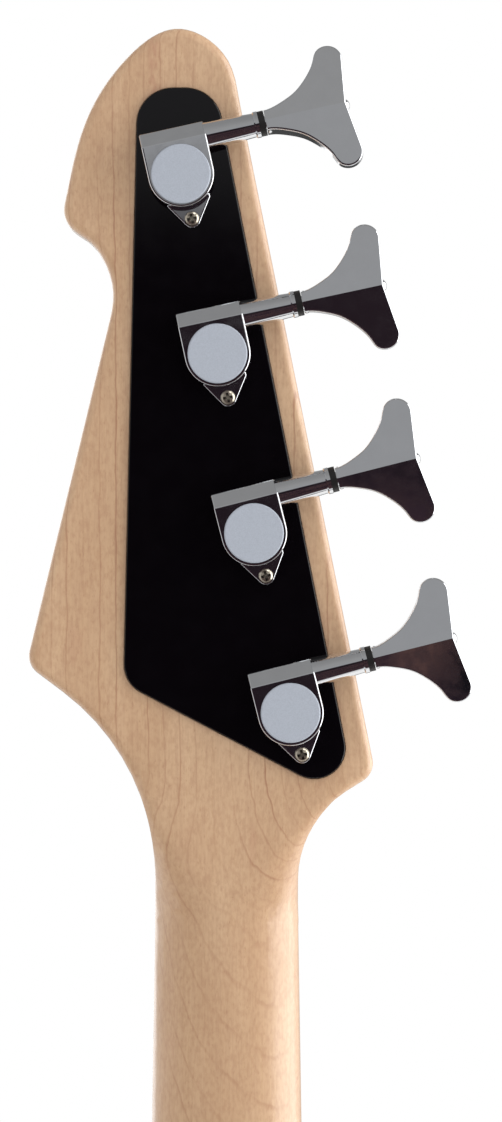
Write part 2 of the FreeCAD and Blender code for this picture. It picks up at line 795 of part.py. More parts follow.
def truss_pieces():
    """Truss rod, its adjusting nut and its cover; returns the tools that make room for them in the neck."""
    rod_y = D.truss_rod_depth
    rod_foot = -D.fretboard_length + 60
    nut_z = SHELF_END + 8.0
    piece("truss_rod", rod("truss_rod", along(vec(0, rod_y, rod_foot), Vector(0, 0, 1)), D.truss_rod_radius,
                           nut_z + 2.0 - rod_foot))
    barrel = rod("truss_nut_barrel", along(vec(0, rod_y, nut_z), Vector(0, 0, 1)), D.truss_nut_radius,
                 D.truss_nut_length)
    thread = rod("truss_nut_thread", along(vec(0, rod_y, nut_z - 1), Vector(0, 0, 1)),
                 D.truss_rod_radius + D.running_gap, 4.0)
    socket = solid("Prism", "truss_nut_socket", along(vec(0, rod_y, nut_z + 6.0), Vector(0, 0, 1)),
                   Circumradius=D.truss_nut_radius * 0.62, Height=D.truss_nut_length)
    piece("truss_rod_nut", cut("truss_rod_nut", barrel, [thread, socket]))
    cover_foot = SHELF_END + 4.0
    half = D.truss_cover_width / 2
    frame = facing_front(0, cover_foot, D.headstock_drop)
    cover = padded("truss_cover", frame, [(-half, 0), (half, 0), (half * 0.9, D.truss_cover_length * 0.45),
                                          (half * 0.45, D.truss_cover_length), (-half * 0.45, D.truss_cover_length),
                                          (-half * 0.9, D.truss_cover_length * 0.45)], D.truss_cover_thickness)
    rounded_corners(cover, 3.0, is_upright)
    spots = [inside(frame, x, y, D.truss_cover_thickness) for x, y in
             ((-half * 0.72, 3.4), (half * 0.72, 3.4), (0, D.truss_cover_length - 4.0))]
    holes = [wood_screw_hole(f"truss_cover_hole_{n}", spot) for n, spot in enumerate(spots)]
    SCREWS.extend(wood_screw(f"truss_cover_screw_{n}", spot, length=7.0) for n, spot in enumerate(spots))
    piece("truss_rod_cover", cut("truss_rod_cover", cover, holes))
    channel = block("truss_channel", along(vec(0, rod_y, rod_foot - 1), Vector(0, 0, 1)),
                    2 * D.truss_rod_radius + 2 * D.fit_gap, 2 * D.truss_rod_radius + 2 * D.fit_gap,
                    nut_z + 1.0 - rod_foot)
    lid = block("truss_channel_top", along(vec(0, D.fretboard_thickness + 4, rod_foot - 1), Vector(0, 0, 1)),
                2 * D.truss_rod_radius + 2 * D.fit_gap, 8.0, SHELF_END - 1.0 - rod_foot)
    pocket = block("truss_pocket", along(vec(0, D.headstock_drop + 4.5, nut_z - 0.8), Vector(0, 0, 1)),
                   2 * D.truss_nut_radius + 1.2, 10.6, D.truss_nut_length + 4.0)
    pilots = [wood_screw_hole(f"truss_pilot_{n}", spot, length=as_size(7.0)) for n, spot in enumerate(spots)]
    return [channel, lid, pocket] + pilots


SCREWS = []


def string_tree():
    """The round string retainer on the headstock's face; returns its hole in the neck."""
    middle = sum(run_x_at(name, D.tree_height.value) for name in TREE_STRINGS) / len(TREE_STRINGS)
    frame = facing_front(middle, D.tree_height, D.headstock_drop)
    stand = tree_stand()
    top = stand + D.tree_disc
    body = turned("tree_turned", frame, [
        (D.wood_screw_radius + D.fit_gap, 0), (D.tree_post_radius + 1.2, 0), (D.tree_post_radius, 1.2),
        (D.tree_post_radius, stand), (D.tree_radius - 0.5, stand), (D.tree_radius, stand + 0.5),
        (D.tree_radius, top - 0.8), (D.tree_radius - 0.8, top), (D.wood_screw_radius + D.fit_gap, top)])
    piece("string_tree", body)
    length = stand + D.tree_disc + 8.0
    SCREWS.append(wood_screw("tree_screw", frame, z=top, length=length))
    return [wood_screw_hole("tree_hole", frame, z=top, length=length)]


def tree_stand():
    """Height of the retainer's disc above the headstock's face: it holds the strings down."""
    return D.headstock_drop - TREE_STRING_Y + D.string_d_radius + TREE_CLEARANCE


TREE_CLEARANCE = 0.9  # the strings slope, so they are nearest to the disc at its rim
TREE_STRING_Y = 3.0  # where the retained strings' centres pass under the disc


def run_x_at(name, z):
    """X of a string's run between the nut and its post at a height."""
    x_nut = string_index(name) * D.string_spacing_nut.value
    u, v = tuner_place(name)
    x_post = -u + winding_radius(name)
    return x_nut + (x_post - x_nut) * z / v


def winding_radius(name):
    """Radius of a string's winding about its post, measured to the string's middle."""
    return D.post_radius.value + 0.3 + STRING_RADII[name].value


def build_headstock():
    """Neck with its holes, the headstock plate and what sits in them."""
    tools = truss_pieces() + string_tree()
    recess = feature("plate_recess", placed(plate_shape(0, D.plate_recess.value + 5),
                                            facing_back(0, 0, headstock_back - D.plate_recess)))
    tools.append(recess)
    plate_holes = []
    for name in STRING_NAMES:
        frame = TUNER_FRAMES[name]
        front = D.headstock_drop - plate_top
        tools.append(rod(f"bushing_hole_{name}", inside(frame, 0, 0, front - 0.5), D.bushing_radius + D.fit_gap,
                         D.bushing_depth + 0.5))
        tools.append(rod(f"post_hole_{name}", inside(frame, 0, 0, front), D.post_radius + 0.5,
                         D.headstock_thickness + 1.0))
        plate_holes.append(rod(f"plate_hole_{name}", inside(frame, 0, 0, -5.0), D.post_radius + 0.5, 6.0))
        ear = inside(frame, D.ear_shift, -D.ear_reach, D.ear_thickness)
        tools.append(wood_screw_hole(f"ear_pilot_{name}", ear))
        plate_holes.append(wood_screw_hole(f"ear_hole_{name}", ear))
    plate = feature("plate_blank", placed(plate_shape(D.plate_gap, D.plate_thickness, D.plate_edge_round),
                                          facing_back(0, 0, headstock_back - D.plate_recess)))
    piece("headstock_plate", cut("headstock_plate", plate, plate_holes))
    for spot in neck_screw_spots():
        tools.append(rod("neck_screw_pilot", inside(spot, 0, 0, -D.neck_screw_length), D.neck_screw_radius + D.fit_gap,
                         D.neck_screw_length))
    piece("neck", cut("neck", feature("neck_blank", neck_blank()), tools))


# Tuning machines

def housing_profile(name, frame):
    """The cast housing's outer form: a rounded block with a bevel, a worm tube and a screw ear."""
    side_turn = Rotation(Vector(0, 1, 0), 90).multiply(Rotation(Vector(0, 0, 1), 90))
    across = frame.multiply(Placement(Vector(), side_turn))
    foot = -D.housing_round - 1.0
    bevel_run = D.housing_bevel * 1.4
    section = padded(f"housing_section_{name}", across, [
        (foot, 0), (D.housing_top, 0), (D.housing_top, D.housing_height - D.housing_bevel),
        (D.housing_top - bevel_run, D.housing_height), (foot, D.housing_height)], 2 * D.housing_half_width, True)
    upper = block(f"housing_upper_{name}", frame, 2 * D.housing_half_width, D.housing_top, D.housing_height,
                  y=D.housing_top / 2)
    lower = rod(f"housing_lower_{name}", frame, D.housing_round, D.housing_height)
    plan = joined(f"housing_plan_{name}", [upper, lower])
    whole = shared(f"housing_block_{name}", section, plan)
    whole.Refine = True
    return soft_edges(f"housing_soft_{name}", whole, D.housing_edge_round,
                      lambda edge: stands_clear(edge, frame))


def stands_clear(edge, frame):
    """True for an edge that doesn't lie on the plate under a tuner, nor run smoothly up from it."""
    ends = [frame.inverse().multVec(edge.valueAt(p)) for p in (edge.FirstParameter, edge.LastParameter)]
    upright = abs(ends[0].x - ends[1].x) + abs(ends[0].y - ends[1].y) < 1e-4
    upright_seam = upright and min(e.y for e in ends) < 1.0
    return max(e.z for e in ends) > 0.1 and not upright_seam


def soft_edges(name, base, radius, picks):
    """A copy of a base with the picked edges rounded."""
    doc.recompute()
    fillet = doc.addObject("Part::Fillet", name)
    fillet.Base = base
    edges = enumerate(base.Shape.Edges, start=1)
    fillet.Edges = [(number, float(radius), float(radius)) for number, edge in edges if picks(edge)]
    return fillet


def tuner_housing(name):
    """One cast housing, hollow for its gear and worm."""
    frame = TUNER_FRAMES[name]
    ear = feature(f"ear_{name}", placed(ear_shape(), frame))
    tube = solid("Cone", f"tube_{name}", along_worm(frame, TUBE_START), Radius1=D.tube_root_radius,
                 Radius2=D.tube_radius, Height=D.tube_reach - TUBE_START)
    round_off, rim = D.collar_edge_round, D.tube_radius + D.collar_step
    collar = turned(f"collar_{name}", along_worm(frame, D.tube_reach), [
        (0, 0), (rim - round_off, 0), (rim - round_off * 0.3, round_off * 0.3), (rim, round_off),
        (rim, D.collar_length), (0, D.collar_length)])
    outer = joined(f"housing_outer_{name}", [housing_profile(name, frame), ear, tube, collar])
    seat = D.housing_height - D.cover_thickness + D.cover_proud
    tools = [
        rod(f"gear_room_{name}", inside(frame, 0, 0, 1.4), D.gear_tip_radius + 0.5, D.housing_height),
        rod(f"cover_seat_{name}", inside(frame, 0, 0, seat), D.cover_radius + D.fit_gap, 5.0),
        rod(f"post_seat_{name}", inside(frame, 0, 0, -1.0), POST_NECK + D.running_gap, 4.0),
        rod(f"worm_room_{name}", along_worm(frame, -7.2), D.worm_tip_radius + D.worm_clearance, 14.4),
        rod(f"shaft_room_{name}", along_worm(frame, -8.5), D.shaft_radius + D.running_gap, D.tube_reach + 14.0),
        wood_screw_hole(f"ear_screw_room_{name}", inside(frame, D.ear_shift, -D.ear_reach, D.ear_thickness)),
    ]
    return cut(f"tuner_housing_{name}", outer, tools)


def touching(outside, centre, radius, side):
    """The point where a line from outside touches a circle, on the side that +1 or -1 gives."""
    run = outside - centre
    angle = math.atan2(run.y, run.x) + side * math.acos(radius / run.Length)
    return centre + Vector(math.cos(angle), math.sin(angle), 0) * radius


# Where the ear's slanted sides begin, right and left.
EAR_SHOULDERS = (Vector(6.8, -7.4, 0), Vector(-5.8, -7.6, 0))
EAR_ROOT = -2.0  # how far into the housing the ear reaches


def ear_shape():
    """The pointed screw ear under a housing, with its upper edges rounded."""
    tip = vec(D.ear_shift, -D.ear_reach, 0)
    radius = D.ear_round.value
    right, left = EAR_SHOULDERS
    right_touch, left_touch = touching(right, tip, radius, -1), touching(left, tip, radius, 1)
    right_root, left_root = Vector(right.x, EAR_ROOT, 0), Vector(left.x, EAR_ROOT, 0)
    edges = [Part.makeLine(left_root, right_root), Part.makeLine(right_root, right),
             Part.makeLine(right, right_touch), Part.Arc(right_touch, tip + Vector(0, -radius, 0), left_touch).toShape(),
             Part.makeLine(left_touch, left), Part.makeLine(left, left_root)]
    shape = prism(Part.Wire(edges), D.ear_thickness)
    on_top = [e for e in shape.Edges if e.BoundBox.ZMin > D.ear_thickness.value - 1e-4]
    rims = [e for e in on_top if e.BoundBox.YMin < EAR_ROOT - 0.1]
    return shape.makeFillet(D.ear_edge_round.value, rims)


TUBE_START = 8.9  # where the worm's tube begins, inside the housing's wall
POST_NECK = 3.0  # radius of the post where it passes the housing


def worm_lead():
    """Advance of the worm for one turn: one tooth of the gear."""
    return 2 * math.pi * D.gear_pitch_radius.value / D.gear_teeth.value


def worm_thread():
    """The worm's single thread, along local z with its middle crossing at z = 0 on local +x."""
    lead = worm_lead()
    root, tip = D.worm_root_radius.value, D.worm_tip_radius.value
    helix = Part.makeHelix(lead, 4 * lead, root)
    inner, base, top = root - 0.25, 0.34, 0.2
    corners = [Vector(inner, 0, -base), Vector(tip, 0, -top), Vector(tip, 0, top), Vector(inner, 0, base)]
    profile = Part.Wire(Part.makePolygon(corners + corners[:1]).Edges)
    thread = Part.Wire(helix.Edges).makePipeShell([profile], True, True)
    thread.translate(Vector(0, 0, -2 * lead))
    return thread


def worm_shaft(name):
    """The worm with its shaft, which carries the key."""
    frame = TUNER_FRAMES[name]
    lead = worm_lead()
    end = D.key_reach + D.shaft_end_reach - D.shaft_radius
    shaft = Part.makeCylinder(D.shaft_radius.value, end.value + 8.2, Vector(0, 0, -8.2))
    core = Part.makeCylinder(D.worm_root_radius.value, 4 * lead + 2.4, Vector(0, 0, -2 * lead - 1.2))
    dome = Part.makeSphere(D.shaft_radius.value, Vector(0, 0, end.value), Vector(0, 0, 1), 0, 90, 360)
    worm = core.fuse(worm_thread()).multiFuse([shaft, dome]).removeSplitter()
    # local +x of the worm faces the gear, which is down the housing
    base = along_worm(frame, 0)
    towards_gear = base.Rotation.inverted().multVec(frame.Rotation.multVec(Vector(0, -1, 0)))
    turn = math.degrees(math.atan2(towards_gear.y, towards_gear.x))
    return feature(f"worm_shaft_{name}", placed(worm, along_worm(frame, 0, turn)))


def key_start():
    """Where a key begins on its shaft, just past the washer."""
    return D.tube_reach.value + D.collar_length.value + D.washer_thickness.value + 0.2


def key_bead():
    """The rounded ring at the foot of a key, along local x."""
    radius, length = D.key_bead_radius.value, D.key_bead_length.value
    ring = Part.makeCylinder(radius, length, Vector(key_start(), 0, 0), POINTING_S)
    rims = [e for e in ring.Edges if e.BoundBox.XLength < 1e-3]
    return ring.makeFillet(length * 0.42, rims)


def key_outline():
    """The fishtail key seen flat: local x along its shaft, symmetric about y = 0."""
    start = key_start()
    neck, wing, tip = D.key_neck.value, D.key_wing.value, D.key_tip_round.value
    reach = D.key_reach.value
    centre = Vector(reach - 2.4, wing - tip, 0)
    leave, arrive = math.radians(125), math.radians(-10)
    first = centre + Vector(math.cos(leave), math.sin(leave), 0) * tip
    middle = centre + Vector(math.cos(math.radians(55)), math.sin(math.radians(55)), 0) * tip
    last = centre + Vector(math.cos(arrive), math.sin(arrive), 0) * tip
    share = wing / 17.9
    flank = [Vector(start, neck, 0)] + [Vector(start + s, y * share, 0) for s, y in KEY_FLANK] + [first]
    upper = [spline_through(flank, Vector(1, 0.02, 0), Vector(math.sin(leave), -math.cos(leave), 0)),
             Part.Arc(first, middle, last).toShape(), Part.makeLine(last, Vector(reach, 0, 0))]
    lower = [edge.mirror(Vector(), Vector(0, 1, 0)) for edge in upper]
    base = Part.makeLine(Vector(start, neck, 0), Vector(start, -neck, 0))
    return Part.Wire(Part.__sortEdges__(upper + lower + [base]))


# The hollow side of a key's wing: steps along the key from its start, with the half width there.
KEY_FLANK = ((5.6, 4.35), (9.4, 6.2), (12.3, 8.6), (14.4, 10.9), (16.4, 14.0))


def tuner_key(name):
    """A fishtail key with a ridge along its middle on both faces."""
    frame = TUNER_FRAMES[name]
    wing, ridge, rim = D.key_wing.value + 1, D.key_ridge.value, D.key_rim.value
    flat = prism(key_outline(), 10)
    flat.translate(Vector(0, 0, -5))
    section = [(0, ridge), (wing, rim), (wing, -rim), (0, -ridge), (-wing, -rim), (-wing, rim)]
    roof = Part.Face(Part.makePolygon([Vector(0, y, z) for y, z in section + section[:1]]))
    roof = roof.extrude(Vector(D.key_reach.value + 20, 0, 0))
    key = flat.common(roof)
    rims = [e for e in key.Edges if e.BoundBox.ZMin * e.BoundBox.ZMax > 0 and not on_ridge(e)]
    key = key.makeFillet(D.key_edge_round.value, rims).fuse(key_bead())
    bore = Part.makeCylinder(D.shaft_radius.value + D.fit_gap.value, 100, Vector(), POINTING_S)
    key = key.cut(bore)
    turn = Placement(vec(0, D.worm_offset, D.worm_height), Rotation(POINTING_S, KEY_REST_ANGLES[name]))
    return feature(f"tuner_key_{name}", placed(key, frame.multiply(turn)))


def on_ridge(edge):
    """True for the edges along the key's two ridges and at its base."""
    box = edge.BoundBox
    along_middle = max(abs(box.YMin), abs(box.YMax)) < 1e-3
    return along_middle or box.XLength < 1e-3


def gear():
    """The worm wheel, with slim teeth, about local z."""
    count = int(D.gear_teeth.value)
    root, tip = D.gear_root_radius.value, D.gear_tip_radius.value
    foot = D.worm_height.value - D.gear_width.value / 2
    corners = []
    for tooth in range(count):
        middle = math.pi / 2 + (tooth + 0.5) * 2 * math.pi / count
        for radius, half in ((root, 0.36), (tip, 0.2), (tip, -0.2), (root, -0.36)):
            angle = middle - half / radius
            corners.append(Vector(radius * math.cos(angle), radius * math.sin(angle), foot))
    return Part.Face(Part.makePolygon(corners + corners[:1])).extrude(Vector(0, 0, D.gear_width.value))


def tuner_post(name):
    """A slotted string post with its gear."""
    frame = TUNER_FRAMES[name]
    length = plate_top - D.headstock_drop + D.post_rise
    foot = -length
    top = length + D.housing_height - D.cover_thickness + D.cover_proud - 0.3
    body = turned(f"post_turned_{name}", inside(frame, 0, 0, foot), [
        (0, 0), (D.post_radius - 0.7, 0), (D.post_radius, 0.7), (D.post_radius, 2.0), (D.post_waist_radius, 3.4),
        (D.post_waist_radius, D.post_rise - 4.6), (D.post_radius, D.post_rise - 3.2),
        (D.post_radius, length - 2.0), (POST_NECK, length - 1.6), (POST_NECK, top), (0, top)])
    wheel = feature(f"gear_{name}", placed(gear(), frame))
    whole = joined(f"post_whole_{name}", [body, wheel])
    slot = block(f"post_slot_{name}", frame, D.post_slot, 4 * D.post_radius, 8.0, z=foot - 1.0)
    bore = rod(f"post_bore_{name}", inside(frame, 0, 0, foot - 1.0), D.post_slot / 2, 14.0)
    return cut(f"tuner_post_{name}", whole, [slot, bore])


def build_tuners():
    """Four tuning machines, with their shared covers, washers, bushings and screws."""
    covers, washers, bushings, screws = [], [], [], []
    for name in STRING_NAMES:
        frame = TUNER_FRAMES[name]
        piece(f"tuner_housing_{name}", tuner_housing(name))
        piece(f"worm_shaft_{name}", worm_shaft(name))
        piece(f"tuner_key_{name}", tuner_key(name))
        piece(f"tuner_post_{name}", tuner_post(name))
        seat = D.housing_height - D.cover_thickness + D.cover_proud
        rim = D.cover_thickness
        covers.append(turned(f"cover_{name}", inside(frame, 0, 0, seat), [
            (0, 0), (D.cover_radius, 0), (D.cover_radius, rim - 0.3), (D.cover_radius - 0.3, rim), (0, rim)]))
        start = D.tube_reach + D.collar_length
        washers.append(turned(f"washer_{name}", along_worm(frame, start), [
            (D.shaft_radius + D.running_gap, 0), (D.tube_radius + 0.2, 0), (D.tube_radius + 0.2, D.washer_thickness),
            (D.shaft_radius + D.running_gap, D.washer_thickness)]))
        bore = D.post_radius + D.running_gap
        face = D.headstock_drop - plate_top
        bushings.append(turned(f"bushing_{name}", inside(frame, 0, 0, face - D.bushing_flange), [
            (bore, 0), (D.bushing_flange_radius - 0.5, 0), (D.bushing_flange_radius, 0.5),
            (D.bushing_flange_radius, D.bushing_flange), (D.bushing_radius, D.bushing_flange),
            (D.bushing_radius, D.bushing_flange + D.bushing_depth), (bore, D.bushing_flange + D.bushing_depth)]))
        ear = inside(frame, D.ear_shift, -D.ear_reach, D.ear_thickness)
        screws.append(wood_screw(f"ear_screw_{name}", ear))
    piece("tuner_gear_covers", group("tuner_gear_covers", covers))
    piece("tuner_washers", group("tuner_washers", washers))
    piece("tuner_bushings", group("tuner_bushings", bushings))
    piece("tuner_screws", group("tuner_screws", screws))


# Fretboard, frets and nut

def fret_z(number):
    """Height of a fret, counted from the nut."""
    return -D.scale_length.value * (1 - 2 ** (-number / 12))


def swept_over_radius(profile, half_width):
    """A section at x = 0 swept to both sides about the fretboard's axis."""
    radius = D.fretboard_radius.value
    half = math.degrees(math.asin(half_width / radius))
    axis = Vector(0, radius, 0)
    start = profile.copy()
    start.rotate(axis, Vector(0, 0, 1), -half)
    return start.revolve(axis, Vector(0, 0, 1), 2 * half)


def fret_face(z):
    """Section of one fret: a rounded crown on a thin tang."""
    half, tang = D.fret_width.value / 2, D.fret_tang_width.value / 2
    depth = D.fret_tang.value
    crown = Part.Arc(Vector(0, 0, z + half), Vector(0, -D.fret_height.value, z), Vector(0, 0, z - half)).toShape()
    corners = [(0, z - half), (0, z - tang), (depth, z - tang), (depth, z + tang), (0, z + tang), (0, z + half)]
    line = Part.makePolygon([Vector(0, y, height) for y, height in corners])
    return Part.Face(Part.Wire([crown] + line.Edges))


def slot_face(z):
    """Section of the slot that holds a fret's tang."""
    half = D.fret_tang_width.value / 2 + D.fit_gap.value
    depth = D.fret_tang.value + D.fit_gap.value
    corners = [(-1, z - half), (depth, z - half), (depth, z + half), (-1, z + half)]
    return Part.Face(Part.makePolygon([Vector(0, y, height) for y, height in corners + corners[:1]]))


def marker_spots():
    """X and Z of the inlaid dots."""
    spots = []
    for number in MARKED_FRETS:
        z = (fret_z(number) + fret_z(number - 1)) / 2
        offset = neck_half_width(z) / 2
        spots.extend([(-offset, z), (offset, z)] if number in DOUBLE_MARKED_FRETS else [(0.0, z)])
    return spots


def build_fretboard():
    """Fretboard with its frets, dots and nut."""
    length, half = D.fretboard_length, D.nut_width / 2
    flat = Placement(Vector(), Rotation(Vector(1, 0, 0), -90))
    wedge = solid("Wedge", "fretboard_wedge", flat, Xmin=-half, Xmax=half, X2min=-D.heel_width / 2,
                  X2max=D.heel_width / 2, Ymin=0, Ymax=length, Zmin=0, Zmax=D.fretboard_thickness,
                  Z2min=0, Z2max=D.fretboard_thickness)
    barrel = rod("fretboard_barrel", along(vec(0, D.fretboard_radius, -length - 1), Vector(0, 0, 1)),
                 D.fretboard_radius, length + 2)
    numbers = range(1, int(D.fret_count.value) + 1)
    slots = [swept_over_radius(slot_face(fret_z(n)), neck_half_width(fret_z(n)) + 2) for n in numbers]
    dots, holes = [], []
    for index, (x, z) in enumerate(marker_spots()):
        sag = x * x / (2 * D.fretboard_radius.value)
        frame = facing_front(x, z, sag + D.marker_depth)
        dots.append(rod(f"dot_{index}", frame, D.marker_radius, D.marker_depth))
        holes.append(rod(f"dot_hole_{index}", frame, D.marker_radius + 0.02, D.marker_depth + 2))
    for index, number in enumerate(MARKED_FRETS):
        z = (fret_z(number) + fret_z(number - 1)) / 2
        edge = neck_half_width(z)
        spot = along(vec(-edge + 0.1, D.fretboard_thickness - 2.2, z), Vector(1, 0, 0))
        dots.append(rod(f"side_dot_{index}", spot, D.side_marker_radius, D.marker_depth))
        holes.append(rod(f"side_dot_hole_{index}", along(vec(-edge - 2, D.fretboard_thickness - 2.2, z),
                                                         Vector(1, 0, 0)),
                         D.side_marker_radius + 0.02, D.marker_depth + 2.12))
    tools = [feature("fret_slots", Part.makeCompound(slots))] + holes
    piece("fretboard", cut("fretboard", shared("fretboard_blank", wedge, barrel), tools))
    piece("position_markers", group("position_markers", dots))
    frets = [swept_over_radius(fret_face(fret_z(n)), neck_half_width(fret_z(n)) - D.fret_inset.value)
             for n in numbers]
    piece("frets", feature("frets", Part.makeCompound(frets)))
    build_nut()


def build_nut():
    """The slotted nut on its shelf."""
    top = D.nut_height + D.fretboard_thickness
    frame = facing_front(0, D.nut_thickness / 2, D.fretboard_thickness)
    blank = block("nut_block", frame, D.nut_width, D.nut_thickness, top)
    crown = rod("nut_crown", along(vec(0, D.fretboard_radius, -1), Vector(0, 0, 1)),
                D.fretboard_radius + D.nut_height, D.nut_thickness + 2)
    slots = []
    for name in STRING_NAMES:
        rest = nut_rest(name)
        run = (rest - saddle_rest(name)).normalize() + (after_nut(name) - rest).normalize()
        slots.append(rod(f"nut_slot_{name}", along(rest - run * 5, run), STRING_RADII[name] + 0.25, 20.0))
    piece("nut", cut("nut", shared("nut_blank", blank, crown), slots))


# Strings

def sag_at(x):
    """How far the fretboard's curve drops at a distance from the middle."""
    return x * x / (2 * D.fretboard_radius.value)


def nut_rest(name):
    """Middle of a string where it crosses the nut."""
    x = string_index(name) * D.string_spacing_nut.value
    y = sag_at(x) - D.string_height_nut.value - STRING_RADII[name].value
    return Vector(x, y, D.nut_thickness.value / 2)


def saddle_rest(name):
    """Middle of a string where it crosses its saddle."""
    x = string_index(name) * D.string_spacing_bridge.value
    y = sag_at(x) - D.string_height_bridge.value - STRING_RADII[name].value
    return Vector(x, y, saddle_z(name))


def anchor(name):
    """Where a string leaves the bridge's rear wall."""
    x = string_index(name) * D.string_spacing_bridge.value
    return vec(x, D.body_top - D.string_hole_height, -D.scale_length - D.bridge_back - 0.05)


def lowest_wrap(name):
    """Y of the wrap nearest to the headstock."""
    return D.headstock_drop.value - D.bushing_flange.value - 1.3 - STRING_RADII[name].value


def after_nut(name):
    """The next point of a string beyond the nut: the retainer or its post."""
    if name in TREE_STRINGS:
        return Vector(run_x_at(name, D.tree_height.value), TREE_STRING_Y, D.tree_height.value)
    return wrap_start(name, nut_rest(name))[0]


def wrap_start(name, before):
    """Where a string touches its winding circle, and the angle there."""
    u, v = tuner_place(name)
    radius = winding_radius(name)
    away = Vector(before.x + u, 0, before.z - v)
    angle = math.atan2(away.z, away.x) + math.acos(radius / away.Length)
    return wrap_point(name, angle, lowest_wrap(name)), angle


def wrap_point(name, angle, y):
    """A point of a winding."""
    u, v = tuner_place(name)
    radius = winding_radius(name)
    return Vector(-u + radius * math.cos(angle), y, v + radius * math.sin(angle))


def biarc(start, start_run, end, end_run):
    """Two arcs that join two points and keep both directions."""
    span = end - start
    total = start_run + end_run
    lean = 2 * (1 - start_run.dot(end_run))
    if lean < 1e-9:
        return [Part.makeLine(start, end)]
    reach = (-span.dot(total) + math.sqrt(span.dot(total) ** 2 + lean * span.dot(span))) / lean
    middle = (start + start_run * reach + end - end_run * reach) * 0.5
    return [tangent_arc(start, start_run, middle), tangent_arc(end, end_run * -1, middle)]


def tangent_arc(start, run, end):
    """An arc from a point along a direction to another point."""
    chord = end - start
    side = chord - run * chord.dot(run)
    if side.Length < 1e-7:
        return Part.makeLine(start, end)
    side.normalize()
    radius = chord.dot(chord) / (2 * chord.dot(side))
    centre = start + side * radius
    middle = centre + ((start + end) * 0.5 - centre).normalize() * radius
    return Part.Arc(start, middle, end).toShape()


def string_path(name):
    """A string's middle line from the bridge over saddle and nut to the windings on its post."""
    points = [anchor(name), saddle_rest(name), nut_rest(name)]
    if name in TREE_STRINGS:
        points.append(after_nut(name))
    first_wrap, angle = wrap_start(name, points[-1])
    points.append(first_wrap)
    edges, here = [], points[0]
    for before, corner, after in zip(points, points[1:], points[2:]):
        start, middle, end = corner_arc(before, corner, after, 12.0)
        edges.append(Part.makeLine(here, start))
        edges.append(Part.Arc(start, middle, end).toShape())
        here = end
    edges.append(Part.makeLine(here, first_wrap))
    run = (first_wrap - here).normalize()
    rise = 2 * STRING_RADII[name].value + D.winding_gap.value
    slope = -rise / (2 * math.pi)
    place, quarter_turn = first_wrap, math.pi / 2
    for step in range(1, int(round(4 * D.winding_turns.value)) + 1):
        turn = angle + step * quarter_turn
        target = wrap_point(name, turn, first_wrap.y + slope * step * quarter_turn)
        radius = winding_radius(name)
        target_run = Vector(-radius * math.sin(turn), slope, radius * math.cos(turn)).normalize()
        edges.extend(biarc(place, run, target, target_run))
        place, run = target, target_run
    return Part.Wire(Part.__sortEdges__(edges))


def least_gap(path, radius):
    """The least distance between a wire's surface and itself, apart from neighbouring points."""
    points = path.discretize(Distance=0.5)[-400:]
    reach = int(math.ceil(3 * math.pi * radius / 0.5)) + 8
    return min((p - q).Length for i, p in enumerate(points) for q in points[i + reach:]) - 2 * radius


def build_strings():
    """Four strings and their ball ends."""
    balls = []
    for name in STRING_NAMES:
        path = string_path(name)
        radius = STRING_RADII[name].value
        start = path.OrderedEdges[0]
        run = start.tangentAt(start.FirstParameter)
        ring = Part.Wire(Part.makeCircle(radius, anchor(name), run))
        sweep = Part.BRepOffsetAPI.MakePipeShell(path)
        sweep.add(ring)
        sweep.build()
        sweep.makeSolid()
        shape = sweep.shape()
        expected = math.pi * radius ** 2 * path.Length
        print(f"string {name}: volume {shape.Volume / expected:.4f} of section times length,"
              f" least gap {least_gap(path, radius):.2f} mm")
        piece(f"string_{name}", feature(f"string_{name}", shape))
        x = anchor(name).x
        back = anchor(name).z - 0.1 - BALL_RADIUS
        centre = along(vec(x - BALL_LENGTH / 2, D.body_top - D.string_hole_height, back), Vector(1, 0, 0))
        balls.append(rod(f"ball_{name}", centre, BALL_RADIUS, BALL_LENGTH))
    piece("string_ball_ends", group("string_ball_ends", balls))


BALL_RADIUS = 2.5
BALL_LENGTH = 4.0


# Body

BODY_STANDARD_WIDTH = 328.0
BODY_STANDARD_LENGTH = 505.0
BODY_STANDARD_TAIL = 96.0
# Outline of a standard body: x from the middle, height from the saddles' line.
BODY_OUTLINE = [(0, 276), (34, 266), (60, 276), (84, 316), (100, 341), (116, 350), (130, 339), (133, 304),
                (122, 244), (114, 174), (125, 104), (148, 44), (156, -6), (138, -56), (95, -86), (30, -96),
                (-40, -95), (-110, -77), (-154, -31), (-167, 26), (-153, 92), (-130, 155), (-124, 214),
                (-135, 284), (-146, 340), (-147, 384), (-130, 409), (-110, 399), (-97, 366), (-79, 324),
                (-57, 294), (-32, 279)]
HORN_TIP = (-130, 409)
TAIL_END = (0, -96)
body_back = D.body_top + D.body_thickness
body_middle_y = D.body_top + D.body_thickness / 2


def body_point(x, height):
    """A point of the body's outline, scaled from the standard body."""
    wide = D.body_width.value / BODY_STANDARD_WIDTH
    tall = D.body_length.value / BODY_STANDARD_LENGTH
    tail = -D.scale_length.value - D.body_tail.value
    return Vector(x * wide, 0, tail + (height + BODY_STANDARD_TAIL) * tall)


def body_blank():
    """The body's slab with rounded edges."""
    curve = Part.BSplineCurve()
    curve.interpolate(Points=[body_point(x, z) for x, z in BODY_OUTLINE], PeriodicFlag=True)
    face = Part.Face(Part.Wire(curve.toShape()))
    face.translate(vec(0, D.body_top, 0))
    slab = face.extrude(vec(0, D.body_thickness, 0))
    rims = [e for e in slab.Edges if e.BoundBox.YLength < 1e-4]
    return slab.makeFillet(D.body_edge_round.value, rims)


def neck_screw_spots():
    """Frames of the neck screws on the body's back."""
    middle = heel_start - D.heel_length / 2
    half = D.neck_screw_spacing / 2
    return [facing_back(u, middle + v, body_back) for u in (-half, half) for v in (-half, half)]


